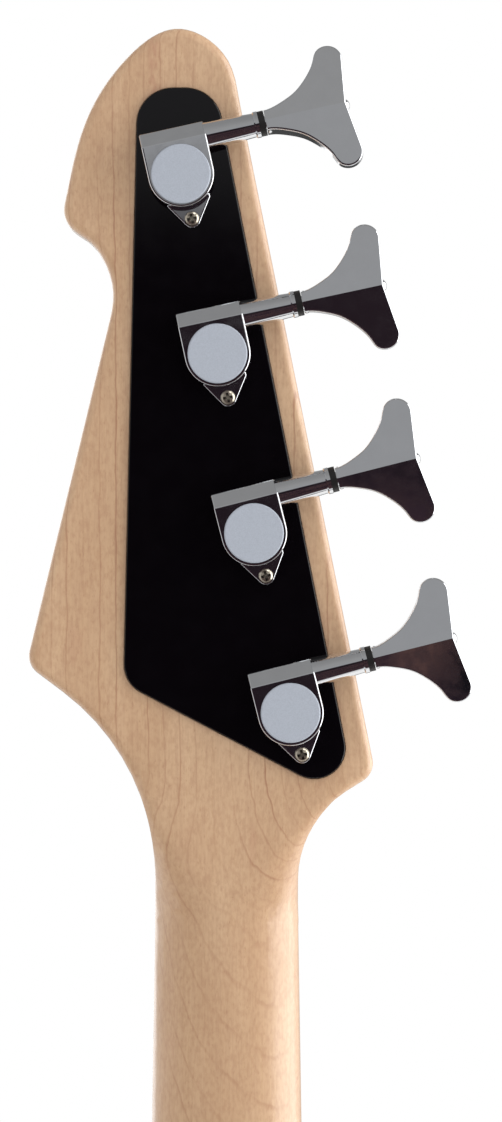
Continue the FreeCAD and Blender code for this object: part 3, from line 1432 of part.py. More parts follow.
def countersunk(name, frame, radius, head, length, grow=0.0):
    """A flat-headed screw, or with grow the roomier hole for it, whose head is flush with a frame."""
    low = length + 4 * grow
    lip = 0.3 + 20 * grow
    return turned(name, inside(frame, 0, 0, -low), [
        (0, 0), (radius * 0.8 + grow, 0), (radius + grow, radius), (radius + grow, length - (head - radius) - 0.3),
        (head + grow, length - 0.3), (head + grow, length - 0.3 + lip), (0, length - 0.3 + lip)])


def build_neck_plate():
    """The flush plate and screws that hold the neck; returns the room they need in the body."""
    middle = heel_start - D.heel_length / 2
    floor = facing_back(0, middle, body_back - D.neck_plate_thickness)
    half = D.neck_plate_side / 2
    square = [(-half, -half), (half, -half), (half, half), (-half, half)]
    plate = padded("neck_plate_blank", floor, square, D.neck_plate_thickness)
    rounded_corners(plate, D.neck_plate_corner, is_upright)
    wide = half + D.plate_gap
    room = padded("neck_plate_room", floor, [(-wide, -wide), (wide, -wide), (wide, wide), (-wide, wide)], 6.0)
    rounded_corners(room, D.neck_plate_corner + D.plate_gap, is_upright)
    screws, holes = [], []
    for index, spot in enumerate(neck_screw_spots()):
        sunk = inside(spot, 0, 0, -0.1)
        blank = countersunk(f"neck_screw_{index}_turned", sunk, D.neck_screw_radius, D.neck_screw_head,
                            D.neck_screw_length - 1.0)
        cross = phillips(f"neck_screw_{index}_cross", sunk, -1.4, D.neck_screw_head * 1.1, 3.0)
        screws.append(cut(f"neck_screw_{index}", blank, [cross]))
        holes.append(countersunk(f"neck_screw_{index}_room", spot, D.neck_screw_radius, D.neck_screw_head,
                                 D.neck_screw_length - 0.5, D.fit_gap.value))
    piece("neck_plate", cut("neck_plate", plate, holes))
    piece("neck_screws", group("neck_screws", screws))
    return [room] + holes


def neck_pocket():
    """The room for the neck's heel in the body."""
    half = D.heel_width / 2 + D.plate_gap
    end = -D.fretboard_length - D.plate_gap
    frame = along(vec(0, D.heel_depth, end), Vector(0, 0, 1))
    top_half = neck_half_width(heel_start.value + 30) + D.plate_gap.value
    corners = [Vector(-half.value, 0, 0), Vector(half.value, 0, 0), Vector(top_half, 0, D.heel_length.value + 30),
               Vector(-top_half, 0, D.heel_length.value + 30)]
    wire = Part.makePolygon(corners + corners[:1])
    shape = Part.Face(wire).extrude(Vector(0, -60, 0))
    shape.translate(frame.Base)
    return feature("neck_pocket", shape)


def strap_button(name, frame):
    """A strap button with its screw, standing on a frame."""
    tall, wide, waist = D.strap_button_height, D.strap_button_radius, D.strap_button_waist
    bore = D.strap_screw_radius + D.fit_gap
    button = turned(f"{name}_turned", frame, [
        (bore, 0), (wide, 0), (wide, 1.6), (waist, 4.2), (waist, tall - 4.4), (wide * 0.86, tall - 1.8),
        (wide * 0.86, tall - 0.8), (wide * 0.7, tall), (bore, tall)])
    length = tall + 24.0
    screw = turned(f"{name}_screw_turned", inside(frame, 0, 0, tall - length), [
        (0, 0), (D.strap_screw_radius, D.strap_screw_radius * 2), (D.strap_screw_radius, length),
        (D.strap_screw_radius * 2, length), (D.strap_screw_radius * 1.8, length + 1.2), (0, length + 1.9)])
    cross = phillips(f"{name}_cross", frame, tall + 0.7, D.strap_screw_radius * 2, 3.0)
    return button, cut(f"{name}_screw", screw, [cross])


def build_strap_buttons():
    """Both strap buttons; returns their seats and screw holes in the body."""
    pieces, room = [], []
    spots = (("horn_button", body_point(*HORN_TIP), Vector(0, 0, 1)),
             ("tail_button", body_point(*TAIL_END), Vector(0, 0, -1)))
    for name, point, axis in spots:
        seat = Vector(point.x, body_middle_y.value, point.z) - axis * 1.5
        frame = along(seat, axis)
        pieces.extend(strap_button(name, frame))
        room.append(rod(f"{name}_seat", frame, D.strap_button_radius + 0.4, 20.0))
        room.append(rod(f"{name}_pilot", inside(frame, 0, 0, -25.0), D.strap_screw_radius + D.fit_gap, 26.0))
    piece("strap_buttons", group("strap_buttons", pieces))
    return room


# Bridge

def bridge_frame():
    """Frame of the bridge on the body's face, with its origin on the saddles' line."""
    return facing_front(0, -D.scale_length, D.body_top)


def intonation_spot(name):
    """Local x and height of a saddle's long screw."""
    x = string_index(name) * D.string_spacing_bridge.value
    return x + D.intonation_shift.value, D.intonation_height


def saddle(name):
    """A saddle block with a string groove and its two height screws."""
    rest = saddle_rest(name)
    frame = facing_front(rest.x, rest.z, D.body_top)
    bottom = D.bridge_plate + D.saddle_lift
    crest = D.body_top.value - rest.y - STRING_RADII[name].value + 0.7
    ahead, behind = D.saddle_length * 0.55, D.saddle_length * 0.45
    side_turn = Rotation(Vector(0, 1, 0), 90).multiply(Rotation(Vector(0, 0, 1), 90))
    on_side = frame.multiply(Placement(Vector(), side_turn))
    section = [(-behind, bottom), (ahead, bottom), (ahead, crest - 1.4), (ahead - 1.2, crest - 0.4), (0.7, crest),
               (-0.7, crest), (-behind + 0.8, crest - 4.8), (-behind, crest - 5.6)]
    blank = padded(f"saddle_blank_{name}", on_side, section, D.saddle_width, True)
    radius = STRING_RADII[name] + 0.16
    tools = []
    for index, towards in enumerate((nut_rest(name), anchor(name))):
        run = (towards - rest).normalize()
        tools.append(rod(f"saddle_groove_{name}_{index}", along(rest - run * 0.8, run), radius, 20.0))
    tools.append(rod(f"saddle_bore_{name}", inside(frame, D.intonation_shift, -30, D.intonation_height,
                                                   Vector(0, 1, 0)),
                     D.intonation_radius + D.running_gap, 60.0))
    grubs = []
    for index, side in enumerate((-1, 1)):
        x = D.grub_spacing / 2 * side
        tools.append(rod(f"grub_hole_{name}_{index}", inside(frame, x, 2.0, 0), D.grub_radius + D.fit_gap, 30.0))
        stud = rod(f"grub_stud_{name}_{index}", inside(frame, x, 2.0, D.bridge_plate + 0.1), D.grub_radius,
                   crest - D.bridge_plate - 0.6)
        socket = solid("Prism", f"grub_socket_{name}_{index}", inside(frame, x, 2.0, crest - 2.0),
                       Circumradius=D.grub_radius * 0.6, Height=4.0)
        grubs.append(cut(f"grub_{name}_{index}", stud, [socket]))
    return group(f"saddle_{name}", [cut(f"saddle_block_{name}", blank, tools)] + grubs)


def intonation_screw(name):
    """The long screw that moves a saddle along the plate."""
    x, height = intonation_spot(name)
    wall = -D.scale_length - D.bridge_back
    head, shank = D.intonation_head, D.intonation_radius
    deep = 2.2
    frame = along(vec(x, D.body_top - height, wall - 0.1 - deep), Vector(0, 0, 1))
    reach = D.bridge_back + 10.0
    body = turned(f"intonation_turned_{name}", frame, [
        (0, 0), (head * 0.7, 0), (head, 0.7), (head, deep), (shank, deep), (shank, deep + reach - 0.6),
        (shank - 0.6, deep + reach), (0, deep + reach)])
    cross = phillips(f"intonation_cross_{name}", frame, -2.0, head * 1.1, 3.2)
    return cut(f"intonation_screw_{name}", body, [cross])


def build_bridge():
    """Bridge plate, saddles and screws; returns the screw holes in the body."""
    frame = bridge_frame()
    length = D.bridge_front + D.bridge_back
    middle = (D.bridge_front - D.bridge_back) / 2
    base = block("bridge_base", frame, D.bridge_width, length, D.bridge_plate, y=middle)
    wall = block("bridge_wall", frame, D.bridge_width, D.bridge_wall, D.bridge_wall_height,
                 y=D.bridge_wall / 2 - D.bridge_back)
    angle = joined("bridge_angle", [base, wall])
    doc.recompute()
    corners = soft_edges("bridge_blank", angle, 3.0, is_bridge_corner)
    holes, room, screws = [], [], []
    for name in STRING_NAMES:
        x = string_index(name) * D.string_spacing_bridge.value
        start = -D.bridge_back - 1
        holes.append(rod(f"string_hole_{name}", inside(frame, x, start, D.string_hole_height, Vector(0, 1, 0)),
                         D.string_hole_radius, D.bridge_wall + 2))
        shift, height = intonation_spot(name)
        holes.append(rod(f"intonation_hole_{name}", inside(frame, shift, start, height, Vector(0, 1, 0)),
                         D.intonation_radius + D.running_gap, D.bridge_wall + 2))
        piece(f"saddle_{name}", saddle(name))
        piece(f"intonation_screw_{name}", intonation_screw(name))
    across = D.bridge_width / 2 - 6.0
    spots = [(-across, 13.0), (across, 13.0), (-D.string_spacing_bridge, -30.0), (0, -30.0),
             (D.string_spacing_bridge, -30.0)]
    for index, (x, y) in enumerate(spots):
        spot = inside(frame, x, y, D.bridge_plate)
        holes.append(wood_screw_hole(f"bridge_hole_{index}", spot, length=D.wood_screw_length * 1.6))
        room.append(wood_screw_hole(f"bridge_pilot_{index}", spot, length=D.wood_screw_length * 1.6))
        screws.append(wood_screw(f"bridge_screw_{index}", spot, length=D.wood_screw_length * 1.6))
    piece("bridge_plate", cut("bridge_plate", corners, holes))
    piece("bridge_screws", group("bridge_screws", screws))
    return room


def is_bridge_corner(edge):
    """True for the two front corners of the bridge plate."""
    box = edge.BoundBox
    level = box.XLength < 1e-4 and box.ZLength < 1e-4
    return level and box.ZMin > -D.scale_length.value


# Pickups

def pickup_frames():
    """Frames of both pickups on the body's face."""
    places = (("neck", D.neck_pickup_place), ("bridge", D.bridge_pickup_place))
    return {label: facing_front(0, place - D.scale_length, D.body_top) for label, place in places}


def string_x_at(name, z):
    """X of a string over the body."""
    first, last = nut_rest(name), saddle_rest(name)
    return first.x + (last.x - first.x) * (first.z - z) / (first.z - last.z)


def pickup_cover(label, frame, poles):
    """A long cover with two ears, hollow for its coil."""
    half, deep = D.pickup_length / 2, D.pickup_width / 2
    low = inside(frame, 0, 0, -D.pickup_depth)
    outer = padded(f"pickup_outer_{label}", low, [(-half, -deep), (half, -deep), (half, deep), (-half, deep)],
                   D.pickup_depth + D.pickup_rise)
    rounded_corners(outer, 4.0, is_upright)
    reach, side = D.pickup_ear_length / 2, D.pickup_ear_width / 2
    ears = padded(f"pickup_ears_{label}", frame, [(-reach, -side), (reach, -side), (reach, side), (-reach, side)],
                  D.pickup_ear_thickness)
    rounded_corners(ears, D.pickup_ear_width * 0.45, is_upright)
    whole = joined(f"pickup_whole_{label}", [outer, ears])
    hollow = block(f"pickup_hollow_{label}", frame, D.pickup_length - 2 * D.pickup_wall,
                   D.pickup_width - 2 * D.pickup_wall, D.pickup_depth + D.pickup_rise - D.pickup_wall,
                   z=-D.pickup_depth)
    tools = [hollow]
    for index, x in enumerate(poles):
        tools.append(rod(f"pole_hole_{label}_{index}", inside(frame, x), D.pole_radius + D.fit_gap, 30.0))
    room = []
    for index, x in enumerate((-reach + 4.2, reach - 4.2)):
        spot = inside(frame, x, 0, D.pickup_ear_thickness)
        tools.append(wood_screw_hole(f"pickup_screw_hole_{label}_{index}", spot))
        room.append(wood_screw_hole(f"pickup_pilot_{label}_{index}", spot))
        SCREWS.append(wood_screw(f"pickup_screw_{label}_{index}", spot))
    return cut(f"pickup_cover_{label}", whole, tools), room


def build_pickups():
    """Both pickups; returns their rooms in the body."""
    covers, coils, poles, room = [], [], [], []
    for label, frame in pickup_frames().items():
        z = frame.Base.z
        spots = [string_x_at(name, z) + side * D.pole_pair_spacing.value / 2
                 for name in STRING_NAMES for side in (-1, 1)]
        cover, pilots = pickup_cover(label, frame, spots)
        covers.append(cover)
        room.extend(pilots)
        ceiling = D.pickup_rise - D.pickup_wall
        depth = D.pickup_depth + ceiling - 2.0
        outer = block(f"coil_outer_{label}", frame, D.pickup_length - 2 * D.pickup_wall - 4,
                      D.pickup_width - 2 * D.pickup_wall - 2, depth, z=ceiling - depth)
        core = block(f"coil_core_{label}", frame, D.pickup_length - 2 * D.pickup_wall - 10,
                     2 * D.pole_radius + 1.0, depth + 2, z=ceiling - depth - 1)
        coils.append(cut(f"coil_{label}", outer, [core]))
        height = D.pickup_depth + D.pickup_rise + D.pole_proud - 2.0
        for index, x in enumerate(spots):
            foot = inside(frame, x, 0, 2.0 - D.pickup_depth)
            poles.append(rod(f"pole_{label}_{index}", foot, D.pole_radius, height))
        room.append(block(f"pickup_room_{label}", frame, D.pickup_length + 2 * D.cavity_gap,
                          D.pickup_width + 2 * D.cavity_gap, D.pickup_depth + 21, z=-D.pickup_depth - 1))
    piece("pickup_covers", group("pickup_covers", covers))
    piece("pickup_coils", group("pickup_coils", coils))
    piece("pickup_pole_pieces", group("pickup_pole_pieces", poles))
    return room


# Controls and jack

KNOB_COUNT = 3


def control_frame():
    """Frame of the control plate: local x runs from the first knob to the jack."""
    return facing_front(D.control_first_x, D.control_first_drop - D.scale_length, D.body_top,
                        D.control_tilt - 90)


def stadium(name, frame, width, height, z=0):
    """A round-ended slab along the row of controls."""
    row = D.control_spacing * KNOB_COUNT
    middle = block(name + "_middle", frame, row, width, height, x=row / 2, z=z)
    ends = [rod(f"{name}_end_{n}", inside(frame, x, 0, z), as_size(width) / 2, height)
            for n, x in enumerate((0, row))]
    return joined(name, [middle] + ends)


def knob(label, frame):
    """A knob with a pointer line, on its shaft."""
    foot = D.control_plate_thickness + D.pot_nut_height + 0.5 + D.knob_gap
    bore = D.pot_shaft_radius + D.fit_gap
    deep = D.pot_shaft_length - 1.0
    tall, wide = D.knob_height, D.knob_radius
    cap = turned(f"knob_turned_{label}", inside(frame, 0, 0, foot), [
        (0, deep), (bore, deep), (bore, 0), (wide - 0.4, 0), (wide, 0.4), (wide, tall - 1.6), (wide - 0.5, tall - 0.5),
        (wide - 1.6, tall), (0, tall)])
    line = block(f"knob_line_{label}", frame, wide * 0.7, 1.1, 2.0, x=wide * 0.6, z=foot + tall - 0.6)
    low = -D.pot_height + 3.0
    shaft = rod(f"knob_shaft_{label}", inside(frame, 0, 0, low), D.pot_shaft_radius, foot + deep - 0.1 - low)
    return group(f"knob_{label}", [cut(f"knob_cap_{label}", cap, [line]), shaft])


def hex_nut(name, frame, z, radius, bore, height):
    """A hexagonal nut standing on local z."""
    blank = solid("Prism", name + "_blank", inside(frame, 0, 0, z), Circumradius=radius, Height=height)
    hole = rod(name + "_hole", inside(frame, 0, 0, as_size(z) - 1), bore, as_size(height) + 2)
    return cut(name, blank, [hole])


def pot(label, frame):
    """A potentiometer hanging under the plate, with its fixing nut."""
    can = rod(f"pot_can_{label}", inside(frame, 0, 0, -D.pot_height), D.pot_radius, D.pot_height)
    neck = rod(f"pot_neck_{label}", inside(frame, 0, 0, -1), D.pot_bushing_radius,
               D.control_plate_thickness + D.pot_nut_height + 1.5)
    lugs = block(f"pot_lugs_{label}", frame, 8.0, 4.0, 1.0, y=-D.pot_radius + 0.6, z=-D.pot_height * 0.5)
    whole = joined(f"pot_whole_{label}", [can, neck, lugs])
    foot = inside(frame, 0, 0, -D.pot_height + 2.0)
    bore = rod(f"pot_bore_{label}", foot, D.pot_shaft_radius + D.running_gap, 40.0)
    nut = hex_nut(f"pot_nut_{label}", frame, D.control_plate_thickness, D.pot_nut_radius,
                  D.pot_bushing_radius + D.fit_gap, D.pot_nut_height)
    return [cut(f"pot_{label}", whole, [bore]), nut]


def output_jack(frame):
    """The output jack's barrel, contact spring and nut."""
    top = D.control_plate_thickness + D.pot_nut_height + 0.6
    barrel = turned("jack_barrel", inside(frame, 0, 0, -D.jack_length), [
        (D.jack_bore_radius, 0), (D.jack_nut_radius + 1.5, 0), (D.jack_nut_radius + 1.5, 2.0),
        (D.jack_barrel_radius, 2.0), (D.jack_barrel_radius, D.jack_length - 3.0),
        (D.jack_nut_radius, D.jack_length - 3.0), (D.jack_nut_radius, D.jack_length),
        (D.jack_barrel_radius, D.jack_length), (D.jack_barrel_radius, D.jack_length + top),
        (D.jack_bore_radius, D.jack_length + top)])
    nut = hex_nut("jack_nut", frame, D.control_plate_thickness, D.jack_nut_radius,
                  D.jack_barrel_radius + D.fit_gap, D.pot_nut_height)
    return group("output_jack", [barrel, nut])


def build_controls():
    """Control plate, pots, knobs and jack; returns their rooms in the body."""
    frame = control_frame()
    spots = [inside(frame, D.control_spacing * n) for n in range(KNOB_COUNT)]
    jack_spot = inside(frame, D.control_spacing * KNOB_COUNT)
    plate = stadium("control_plate_blank", frame, D.control_plate_width, D.control_plate_thickness)
    holes = [rod(f"control_hole_{n}", inside(spot, 0, 0, -1), D.pot_bushing_radius + D.fit_gap, 5.0)
             for n, spot in enumerate(spots)]
    holes.append(rod("jack_hole", inside(jack_spot, 0, 0, -1), D.jack_barrel_radius + D.fit_gap, 5.0))
    row = D.control_spacing * KNOB_COUNT
    rim = D.control_plate_width / 2 - D.control_cavity_margin / 2
    room = []
    for index, (x, y) in enumerate(((-rim, 0), (row + rim, 0), (row / 2, rim), (row / 2, -rim))):
        spot = inside(frame, x, y, D.control_plate_thickness)
        holes.append(wood_screw_hole(f"control_screw_hole_{index}", spot))
        room.append(wood_screw_hole(f"control_pilot_{index}", spot))
        SCREWS.append(wood_screw(f"control_screw_{index}", spot))
    piece("control_plate", cut("control_plate", plate, holes))
    pots = []
    for label, spot in zip(("volume", "blend", "tone"), spots):
        piece(f"knob_{label}", knob(label, spot))
        pots.extend(pot(label, spot))
    piece("pots", group("pots", pots))
    piece("output_jack", output_jack(jack_spot))
    room.append(stadium("control_room", frame, D.control_plate_width - 2 * D.control_cavity_margin,
                        D.control_cavity_depth + 20, z=-D.control_cavity_depth))
    return room


def wiring_channels():
    """Drilled ways for the leads from pickup to pickup and on to the controls."""
    frames = pickup_frames()
    depth = D.pickup_depth.value - 2.0
    ends = [inside(frames["neck"], 20, 0, -depth).Base, inside(frames["bridge"], 20, 0, -depth).Base,
            inside(control_frame(), 20, 0, -depth).Base]
    return [rod(f"wiring_{n}", along(start, end - start), 3.0, (end - start).Length)
            for n, (start, end) in enumerate(zip(ends, ends[1:]))]


def build_body():
    """The body with all its rooms, and everything fixed to it."""
    tools = [neck_pocket()] + build_neck_plate() + build_strap_buttons() + build_bridge() + build_pickups()
    tools += build_controls() + wiring_channels()
    shape = feature("body_blank", body_blank())
    for index, tool in enumerate(tools[:-1]):
        shape = cut(f"body_step_{index}", shape, [tool])
    piece("body", cut("body", shape, [tools[-1]]))


def check_and_export():
    """Checks every object and piece, then writes one STEP file per piece."""
    doc.recompute()
    for item in doc.Objects:
        if "Invalid" in item.State or "Error" in item.State:
            raise RuntimeError(f"{item.Name} ({item.Label}) is in state {item.State}: {item.getStatusString()}")
    for label, item in PIECES.items():
        if item.Shape.isNull() or not item.Shape.isValid() or not item.Shape.Solids:
            raise RuntimeError(f"{label} has no valid shape")
    os.makedirs("parts", exist_ok=True)
    for label, item in PIECES.items():
        item.Shape.exportStep(f"parts/{label}.step")
        box = item.Shape.BoundBox
        print(f"{label}: {len(item.Shape.Solids)} solids, {item.Shape.Volume:.1f} mm3, x {box.XMin:.1f}..{box.XMax:.1f}"
              f" y {box.YMin:.1f}..{box.YMax:.1f} z {box.ZMin:.1f}..{box.ZMax:.1f}")


build_headstock()
build_tuners()
build_fretboard()
build_body()
build_strings()
piece("small_screws", group("small_screws", SCREWS))
check_and_export()
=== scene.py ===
"""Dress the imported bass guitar: finishes, finer pieces, studio light and the camera."""

import logging
import math
from dataclasses import dataclass
from enum import Enum

import bmesh
import bpy
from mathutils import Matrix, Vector
from mathutils.bvhtree import BVHTree
from mathutils.geometry import intersect_point_line
from mathutils.interpolate import poly_3d_calc


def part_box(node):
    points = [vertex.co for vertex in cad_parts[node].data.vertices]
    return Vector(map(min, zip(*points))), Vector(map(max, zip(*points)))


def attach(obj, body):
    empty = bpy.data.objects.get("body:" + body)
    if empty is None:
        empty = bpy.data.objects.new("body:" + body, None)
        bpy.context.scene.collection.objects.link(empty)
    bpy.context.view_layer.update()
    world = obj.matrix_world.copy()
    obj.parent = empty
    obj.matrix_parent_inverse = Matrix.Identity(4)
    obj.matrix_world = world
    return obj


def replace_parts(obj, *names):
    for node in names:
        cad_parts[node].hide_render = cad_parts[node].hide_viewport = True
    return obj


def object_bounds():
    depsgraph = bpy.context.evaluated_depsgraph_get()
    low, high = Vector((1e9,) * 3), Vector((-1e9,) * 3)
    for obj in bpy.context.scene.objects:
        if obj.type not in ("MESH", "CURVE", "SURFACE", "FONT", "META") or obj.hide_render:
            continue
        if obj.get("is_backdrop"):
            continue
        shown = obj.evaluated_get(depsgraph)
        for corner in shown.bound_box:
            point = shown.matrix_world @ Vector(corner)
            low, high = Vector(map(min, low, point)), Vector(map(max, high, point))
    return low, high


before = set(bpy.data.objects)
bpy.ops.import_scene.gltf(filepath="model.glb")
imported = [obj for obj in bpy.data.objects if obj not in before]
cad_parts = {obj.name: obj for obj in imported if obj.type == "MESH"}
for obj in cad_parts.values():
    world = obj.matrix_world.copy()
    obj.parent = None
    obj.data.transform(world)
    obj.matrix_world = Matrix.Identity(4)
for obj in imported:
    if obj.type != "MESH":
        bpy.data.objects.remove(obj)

MM = 0.001
LOG = logging.getLogger("bass")
Socket = bpy.types.NodeSocket
Inputs = dict[str, object]
Coats = tuple[tuple[str, tuple[str, ...]], ...]
Span = tuple[float, float]
Triple = tuple[float, float, float]
Colour = Triple
Stop = tuple[float, Colour]


class Maths(Enum):
    """Sums that a finish works out from its coordinates."""

    ADD = "ADD"
    TIMES = "MULTIPLY"
    OVER = "DIVIDE"
    FRACTION = "FRACT"
    LARGER = "MAXIMUM"
    SIZE = "ABSOLUTE"
    SINE = "SINE"
    FLOOR = "FLOOR"


class StringName(Enum):
    """The strings, from the thickest."""

    LOWEST = "E"
    LOWER = "A"
    HIGHER = "D"
    HIGHEST = "G"


def from_srgb(red: int, green: int, blue: int) -> Colour:
    """Turn a colour as seen on a screen into the linear values that shaders use.

    Args:
        red: red part, 0 to 255.
        green: green part, 0 to 255.
        blue: blue part, 0 to 255.

    Returns:
        The three linear parts.
    """
    parts = []
    for part in (red, green, blue):
        share = part / 255
        parts.append(share / 12.92 if share <= 0.04045 else ((share + 0.055) / 1.055) ** 2.4)
    return tuple(parts)


def grey(level: float) -> Colour:
    """Give a grey with all three parts alike."""
    return (level, level, level)


def shaded(colour: Colour, share: float) -> Colour:
    """Give a share of a colour's light."""
    return tuple(part * share for part in colour)


class Graph:
    """A node tree under construction, with one short call for each kind of node in use."""

    def __init__(self, tree: bpy.types.NodeTree) -> None:
        """Start on a tree, emptied of the nodes that came with it.

        Args:
            tree: the material's or world's node tree.
        """
        self.tree = tree
        tree.nodes.clear()

    def add(self, kind: str, **settings: object) -> bpy.types.Node:
        """Add a node and set its properties.

        Args:
            kind: the node's type without the word that all shader nodes start with.
            settings: the node's own properties.

        Returns:
            The new node.
        """
        node = self.tree.nodes.new("ShaderNode" + kind)
        for name, value in settings.items():
            setattr(node, name, value)
        return node

    def feed(self, socket: Socket, value: object) -> None:
        """Link a socket to another, or set it to a plain value.

        Args:
            socket: the input to fill.
            value: an output socket, a number, a colour or a vector.
        """
        if isinstance(value, Socket):
            self.tree.links.new(value, socket)
        elif isinstance(value, tuple) and len(value) == 3 and socket.type == "RGBA":
            # A colour socket also takes an alpha.
            socket.default_value = (*value, 1.0)
        else:
            socket.default_value = value

    def place(self) -> Socket:
        """Give the position on the object in metres."""
        return self.add("TexCoord").outputs["Object"]

    def parts(self, vector: Socket) -> tuple[Socket, ...]:
        """Split a vector into its three numbers.

        Args:
            vector: the vector to split.

        Returns:
            The numbers along x, y and z.
        """
        node = self.add("SeparateXYZ")
        self.feed(node.inputs[0], vector)
        return tuple(node.outputs)

    def streaks(self, vector: Socket, scale: Triple, detail: float) -> Socket:
        """Give cloudy noise with its own fineness along each axis.

        Args:
            vector: where the noise is read.
            scale: how many clouds there are per unit along each axis.
            detail: how many finer layers there are.

        Returns:
            The noise as a number.
        """
        node = self.add("VectorMath", operation="MULTIPLY")
        self.feed(node.inputs[0], vector)
        node.inputs[1].default_value = scale
        return self.noise(node.outputs[0], 1.0, detail)

    def sum(self, kind: Maths, first: object, second: object = None) -> Socket:
        """Work out a sum of one or two values.

        Args:
            kind: the sum.
            first: a socket or a number.
            second: a socket or a number, for sums of two.

        Returns:
            The result.
        """
        node = self.add("Math", operation=kind.value)
        self.feed(node.inputs[0], first)
        if second is not None:
            self.feed(node.inputs[1], second)
        return node.outputs[0]

    def noise(self, vector: Socket, scale: float, detail: float,
              rough: float = 0.5, twist: float = 0.0) -> Socket:
        """Give cloudy noise around one half.

        Args:
            vector: where the noise is read.
            scale: how many clouds there are per unit.
            detail: how many finer layers there are.
            rough: how strong the finer layers are.
            twist: how far the noise bends itself.

        Returns:
            The noise as a number.
        """
        node = self.add("TexNoise")
        self.feed(node.inputs["Vector"], vector)
        node.inputs["Scale"].default_value = scale
        node.inputs["Detail"].default_value = detail
        node.inputs["Roughness"].default_value = rough
        node.inputs["Distortion"].default_value = twist
        return node.outputs[0]

    def levels(self, value: object, low: float, high: float, to_low: float = 0.0,
               to_high: float = 1.0) -> Socket:
        """Carry one range of a value smoothly to another and hold it there.

        Args:
            value: the value to carry.
            low: where the range starts.
            high: where the range ends.
            to_low: the result at the start.
            to_high: the result at the end.

        Returns:
            The carried value.
        """
        node = self.add("MapRange", interpolation_type="SMOOTHSTEP")
        self.feed(node.inputs["Value"], value)
        for name, number in (("From Min", low), ("From Max", high), ("To Min", to_low), ("To Max", to_high)):
            node.inputs[name].default_value = number
        return node.outputs["Result"]

    def ramp(self, value: object, *stops: Stop) -> Socket:
        """Turn a value into a colour by a row of stops.

        Args:
            value: the value to colour.
            stops: positions from 0 to 1, each with its colour.

        Returns:
            The colour.
        """
        node = self.add("ValToRGB")
        self.feed(node.inputs[0], value)
        line = node.color_ramp.elements
        while len(line) < len(stops):
            line.new(1.0)
        for element, (position, colour) in zip(line, stops):
            element.position = position
            element.color = (*colour, 1.0)
        return node.outputs[0]

    def blend(self, share: object, first: object, second: object) -> Socket:
        """Mix two colours.

        Args:
            share: how much of the second there is.
            first: a colour or a socket.
            second: a colour or a socket.

        Returns:
            The mixed colour.
        """
        node = self.add("Mix", data_type="RGBA")
        self.feed(node.inputs["Factor"], share)
        self.feed(node.inputs[6], first)
        self.feed(node.inputs[7], second)
        return node.outputs[2]

    def bump(self, height: Socket, depth: float, strength: float) -> Socket:
        """Tilt the surface by a height.

        Args:
            height: the height, from 0 to 1.
            depth: how deep that is, in metres.
            strength: how much of the tilt shows.

        Returns:
            The tilted normal.
        """
        node = self.add("Bump")
        self.feed(node.inputs["Height"], height)
        node.inputs["Distance"].default_value = depth
        node.inputs["Strength"].default_value = strength
        return node.outputs[0]


@dataclass(frozen=True)
class Finish:
    """What a surface is made of; each kind paints its own nodes."""

    name: str

    def make(self) -> bpy.types.Material:
        """Build the material.

        Returns:
            A material with this finish's name.
        """
        material = bpy.data.materials.new(self.name)
        material.use_nodes = True
        graph = Graph(material.node_tree)
        shader = graph.add("BsdfPrincipled")
        output = graph.add("OutputMaterial")
        graph.feed(output.inputs["Surface"], shader.outputs[0])
        for name, value in self.paint(graph).items():
            graph.feed(shader.inputs[name], value)
        return material

    def paint(self, graph: Graph) -> Inputs:
        """Paint the nodes; each kind of finish has its own way.

        Args:
            graph: the material's nodes.

        Returns:
            The shader's inputs.
        """
        raise NotImplementedError


